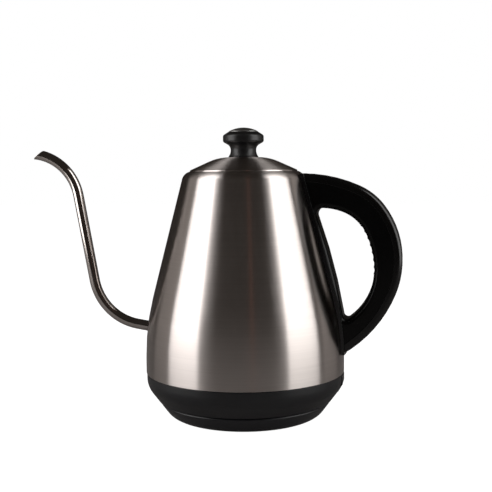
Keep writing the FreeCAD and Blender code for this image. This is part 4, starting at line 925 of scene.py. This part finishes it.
class KETTLE_OT_skirt(bpy.types.Operator):
    """Turn the black skirt with its tongue and screw flange, and open the switch's slot"""
    bl_idname = "kettle.skirt"
    bl_label = "Skirt"

    def execute(self, context):
        skirt = context.scene.kettle_skirt
        base = context.scene.kettle_base
        wall = skirt.wall
        cone = shared_cone(base, skirt)
        corner = base.high + (skirt.radius - base.radius) / math.tan(skirt.lean)
        inner_corner = corner + wall * math.tan(skirt.lean / 2)
        flange_high = skirt.flange_low + skirt.flange
        inner_rim = skirt.radius - wall
        edge = wall * 0.25
        piece = turned([
            (cone(skirt.low), skirt.low, edge), (skirt.radius, corner, skirt.bend),
            (skirt.radius, skirt.high, edge), (skirt.tongue_radius, skirt.high),
            (skirt.tongue_radius, skirt.tongue_top, edge), (inner_rim, skirt.tongue_top, edge),
            (inner_rim, inner_corner, skirt.bend - wall), (cone(flange_high, -wall), flange_high, edge),
            (skirt.flange_inside, flange_high, edge), (skirt.flange_inside, skirt.flange_low, edge),
            (cone(skirt.flange_low, -wall), skirt.flange_low), (cone(skirt.low, -wall), skirt.low, edge),
        ])
        half = skirt.slot_width / 2
        top = skirt.high + edge / 2
        hole = rounded([
            (-half, skirt.slot_low, wall / 2), (half, skirt.slot_low, wall / 2), (half, top), (-half, top)])
        line = [Vector((skirt.flange_inside, point.x, point.y)) for point in hole]
        cutter = draw(line)
        bpy.ops.mesh.edge_face_add()
        thicken((skirt.flange_inside, 0, 0))
        carve(piece, cutter)
        hand_over(piece, "black_skirt", "kettle", "skirt_plastic", "base_skirt")
        return {"FINISHED"}


class KETTLE_OT_power_base(bpy.types.Operator):
    """Turn the power base with its drip dish and open its cord inlet"""
    bl_idname = "kettle.power_base"
    bl_label = "Power base"

    def execute(self, context):
        base = context.scene.kettle_base
        cone = shared_cone(base, context.scene.kettle_skirt)
        ceiling = base.high - base.wall
        dish = base.high - base.dish_depth
        edge = base.dish_depth
        piece = turned([
            (base.hub_hole, ceiling), (cone(ceiling, -base.wall), ceiling),
            (base.plate + base.gap, base.low), (cone(base.low), base.low, base.low_round),
            (base.radius, base.high, base.high_round),
            (base.dish_outside, base.high, edge), (base.dish_outside - edge * 2, dish, edge),
            (base.dish_inside + edge * 2, dish, edge), (base.dish_inside, base.high, edge),
            (base.hub_hole, base.high, edge / 2),
        ])
        start = (0, base.dish_outside / 2, base.inlet_height)
        carve(piece, rod(base.inlet, start, (0, 1, 0), base.dish_outside))
        hand_over(piece, "base_dish", "power_base", "base_plastic", "base_housing")
        self.plate(base)
        return {"FINISHED"}

    def plate(self, base):
        """The bottom plate with the rubber ring's groove and its counterbores."""
        high = base.low + base.plate_thickness
        groove = base.low + base.foot_depth
        near = base.foot_ring - base.foot_groove / 2
        far = base.foot_ring + base.foot_groove / 2
        edge = base.plate_round
        piece = turned([
            (0, base.low), (near, base.low, edge / 2), (near, groove),
            (far, groove), (far, base.low, edge / 2),
            (base.plate, base.low, edge), (base.plate, high, edge), (0, high),
        ])
        for turn in range(3):
            at = Matrix.Rotation(math.tau * turn / 3, 3, "Z") @ Vector((base.screw_circle, 0, 0))
            carve(piece, rod(base.screw_head, at, (0, 0, 1), high * 2))
        hand_over(piece, "bottom_plate", "power_base", "base_plastic", "base_plate")


class KETTLE_OT_switch(bpy.types.Operator):
    """Model the switch lever with its sloping paddle"""
    bl_idname = "kettle.switch"
    bl_label = "Switch"

    def execute(self, context):
        switch = context.scene.kettle_switch
        half = switch.paddle / 2
        waist = switch.hub * 0.7
        neck = switch.pivot + switch.hub * 1.4
        level = switch.height
        line = rounded([
            (switch.pivot - switch.arm, level - waist), (switch.pivot, level - switch.hub),
            (neck, level - half), (switch.face - half * 0.6, level - half, switch.edge_round),
            (switch.face, level, switch.edge_round * 2),
            (switch.face, level + half, switch.edge_round), (neck, level + half),
            (switch.pivot, level + switch.hub), (switch.pivot - switch.arm, level + waist),
        ])
        piece = slab(line, switch.width)
        round_side(line, switch.width, switch.edge_round, 3)
        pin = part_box("switch_pin")[1].x - switch.pivot
        start = (switch.pivot, -switch.width, level)
        carve(piece, rod(pin, start, (0, 1, 0), switch.width * 2))
        hand_over(piece, "switch_paddle", "switch", "switch_plastic", "switch_lever")
        return {"FINISHED"}


class KETTLE_OT_inner_parts(bpy.types.Operator):
    """Give every construction solid that still shows the finish of its material slot"""
    bl_idname = "kettle.inner_parts"
    bl_label = "Inner parts"

    def execute(self, context):
        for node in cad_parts.values():
            if node.hide_render:
                continue
            slot = node.material_slots[0]
            slot.material = finish(slot.material.name.split(".")[0])
        return {"FINISHED"}


class KETTLE_OT_stage(bpy.types.Operator):
    """Set up the pale floor, the soft lights and the camera"""
    bl_idname = "kettle.stage"
    bl_label = "Stage"

    def execute(self, context):
        stage = context.scene.kettle_stage
        self.floor(stage)
        self.lights(stage)
        self.world(context, stage)
        self.camera(context, stage)
        return {"FINISHED"}

    def floor(self, stage):
        """A pale floor that the camera sees as plain white."""
        clear_selection()
        bpy.ops.mesh.primitive_plane_add(size=stage.floor)
        floor = bpy.context.object
        floor.name = "pale_floor"
        material, tree, shader = new_finish("pale_floor", Roughness=0.9, Specular_IOR_Level=0.1)
        tree.links.new(by_camera(tree, stage.floor_tone, stage.floor_seen), shader.inputs["Base Color"])
        shader.inputs["Emission Color"].default_value = (1, 1, 1, 1)
        ray = add_node(tree, "LightPath").outputs["Is Camera Ray"]
        tree.links.new(ray, shader.inputs["Emission Strength"])
        floor.data.materials.append(material)

    def lights(self, stage):
        """Softboxes: name, turn from the camera, distance, width, height, middle, power, tint."""
        boxes = [
            ("left_box", -73, 0.95, 0.69, 1.60, 0.80, 11.0, (1.0, 0.985, 0.98)),
            ("right_box", 68, 0.95, 0.71, 1.60, 0.80, 10.0, (1.0, 0.99, 0.98)),
            ("left_wall", -109, 0.95, 0.42, 1.60, 0.80, 0.6, (1.0, 0.93, 0.88)),
            ("right_wall", 110, 0.95, 0.45, 1.60, 0.80, 0.8, (1.0, 0.93, 0.88)),
            ("warm_card", 8, 1.20, 0.07, 1.20, 0.60, 0.026, (1.0, 0.30, 0.15)),
        ]
        for name, turn, distance, width, height, middle, power, tint in boxes:
            bearing = stage.turn + math.radians(turn)
            at = Vector((math.sin(bearing) * distance, -math.cos(bearing) * distance, middle))
            clear_selection()
            bpy.ops.object.light_add(type="AREA", location=at)
            lamp = bpy.context.object
            lamp.name = name
            lamp.rotation_euler = (Vector((0, 0, middle)) - at).to_track_quat("-Z", "Y").to_euler()
            lamp.data.shape = "RECTANGLE"
            lamp.data.size = width
            lamp.data.size_y = height
            lamp.data.energy = power
            lamp.data.color = tint

    def world(self, context, stage):
        """White behind the kettle, dim in what it mirrors."""
        world = bpy.data.worlds.new("studio")
        context.scene.world = world
        world.use_nodes = True
        tree = world.node_tree
        background = tree.nodes["Background"]
        tree.links.new(by_camera(tree, stage.room, (1, 1, 1)), background.inputs["Color"])
        context.scene.view_settings.view_transform = "Standard"

    def camera(self, context, stage):
        """The camera at the photograph's angle."""
        clear_selection()
        at = Vector((math.sin(stage.turn), -math.cos(stage.turn), 0)) * stage.distance
        at.z = stage.eye
        bpy.ops.object.camera_add(location=at)
        camera = bpy.context.object
        heading = Matrix.Rotation(stage.turn + stage.yaw, 3, "Z")
        tilt = Matrix.Rotation(math.pi / 2 - stage.pitch, 3, "X")
        camera.rotation_euler = (heading @ tilt @ Matrix.Rotation(stage.roll, 3, "Z")).to_euler()
        camera.data.lens = stage.lens
        camera.data.sensor_width = 36.0
        camera.data.clip_start = 0.01
        context.scene.camera = camera


class KETTLE_PT_pieces(bpy.types.Panel):
    """Every operator and every size in the sidebar"""
    bl_idname = "KETTLE_PT_pieces"
    bl_label = "Gooseneck Kettle"
    bl_space_type = "VIEW_3D"
    bl_region_type = "UI"
    bl_category = "Kettle"

    def draw(self, context):
        for operator in OPERATORS:
            self.layout.operator(operator.bl_idname)
        for group in GROUPS:
            box = self.layout.box()
            sizes = getattr(context.scene, group)
            for name in sizes.__annotations__:
                box.prop(sizes, name)


OPERATORS = [
    KETTLE_OT_vessel, KETTLE_OT_spout, KETTLE_OT_lid, KETTLE_OT_knob, KETTLE_OT_handle,
    KETTLE_OT_skirt, KETTLE_OT_power_base, KETTLE_OT_switch, KETTLE_OT_inner_parts, KETTLE_OT_stage,
]
CLASSES = [*GROUPS.values(), *OPERATORS, KETTLE_PT_pieces]


def register():
    for item in CLASSES:
        bpy.utils.register_class(item)
    for name, group in GROUPS.items():
        setattr(bpy.types.Scene, name, bpy.props.PointerProperty(type=group))


def unregister():
    for name in GROUPS:
        delattr(bpy.types.Scene, name)
    for item in reversed(CLASSES):
        bpy.utils.unregister_class(item)


def main():
    register()
    bpy.ops.kettle.vessel()
    bpy.ops.kettle.spout()
    bpy.ops.kettle.lid()
    bpy.ops.kettle.knob()
    bpy.ops.kettle.handle()
    bpy.ops.kettle.skirt()
    bpy.ops.kettle.power_base()
    bpy.ops.kettle.switch()
    bpy.ops.kettle.inner_parts()
    bpy.ops.kettle.stage()
    clear_selection()


if __name__ == "__main__":
    main()
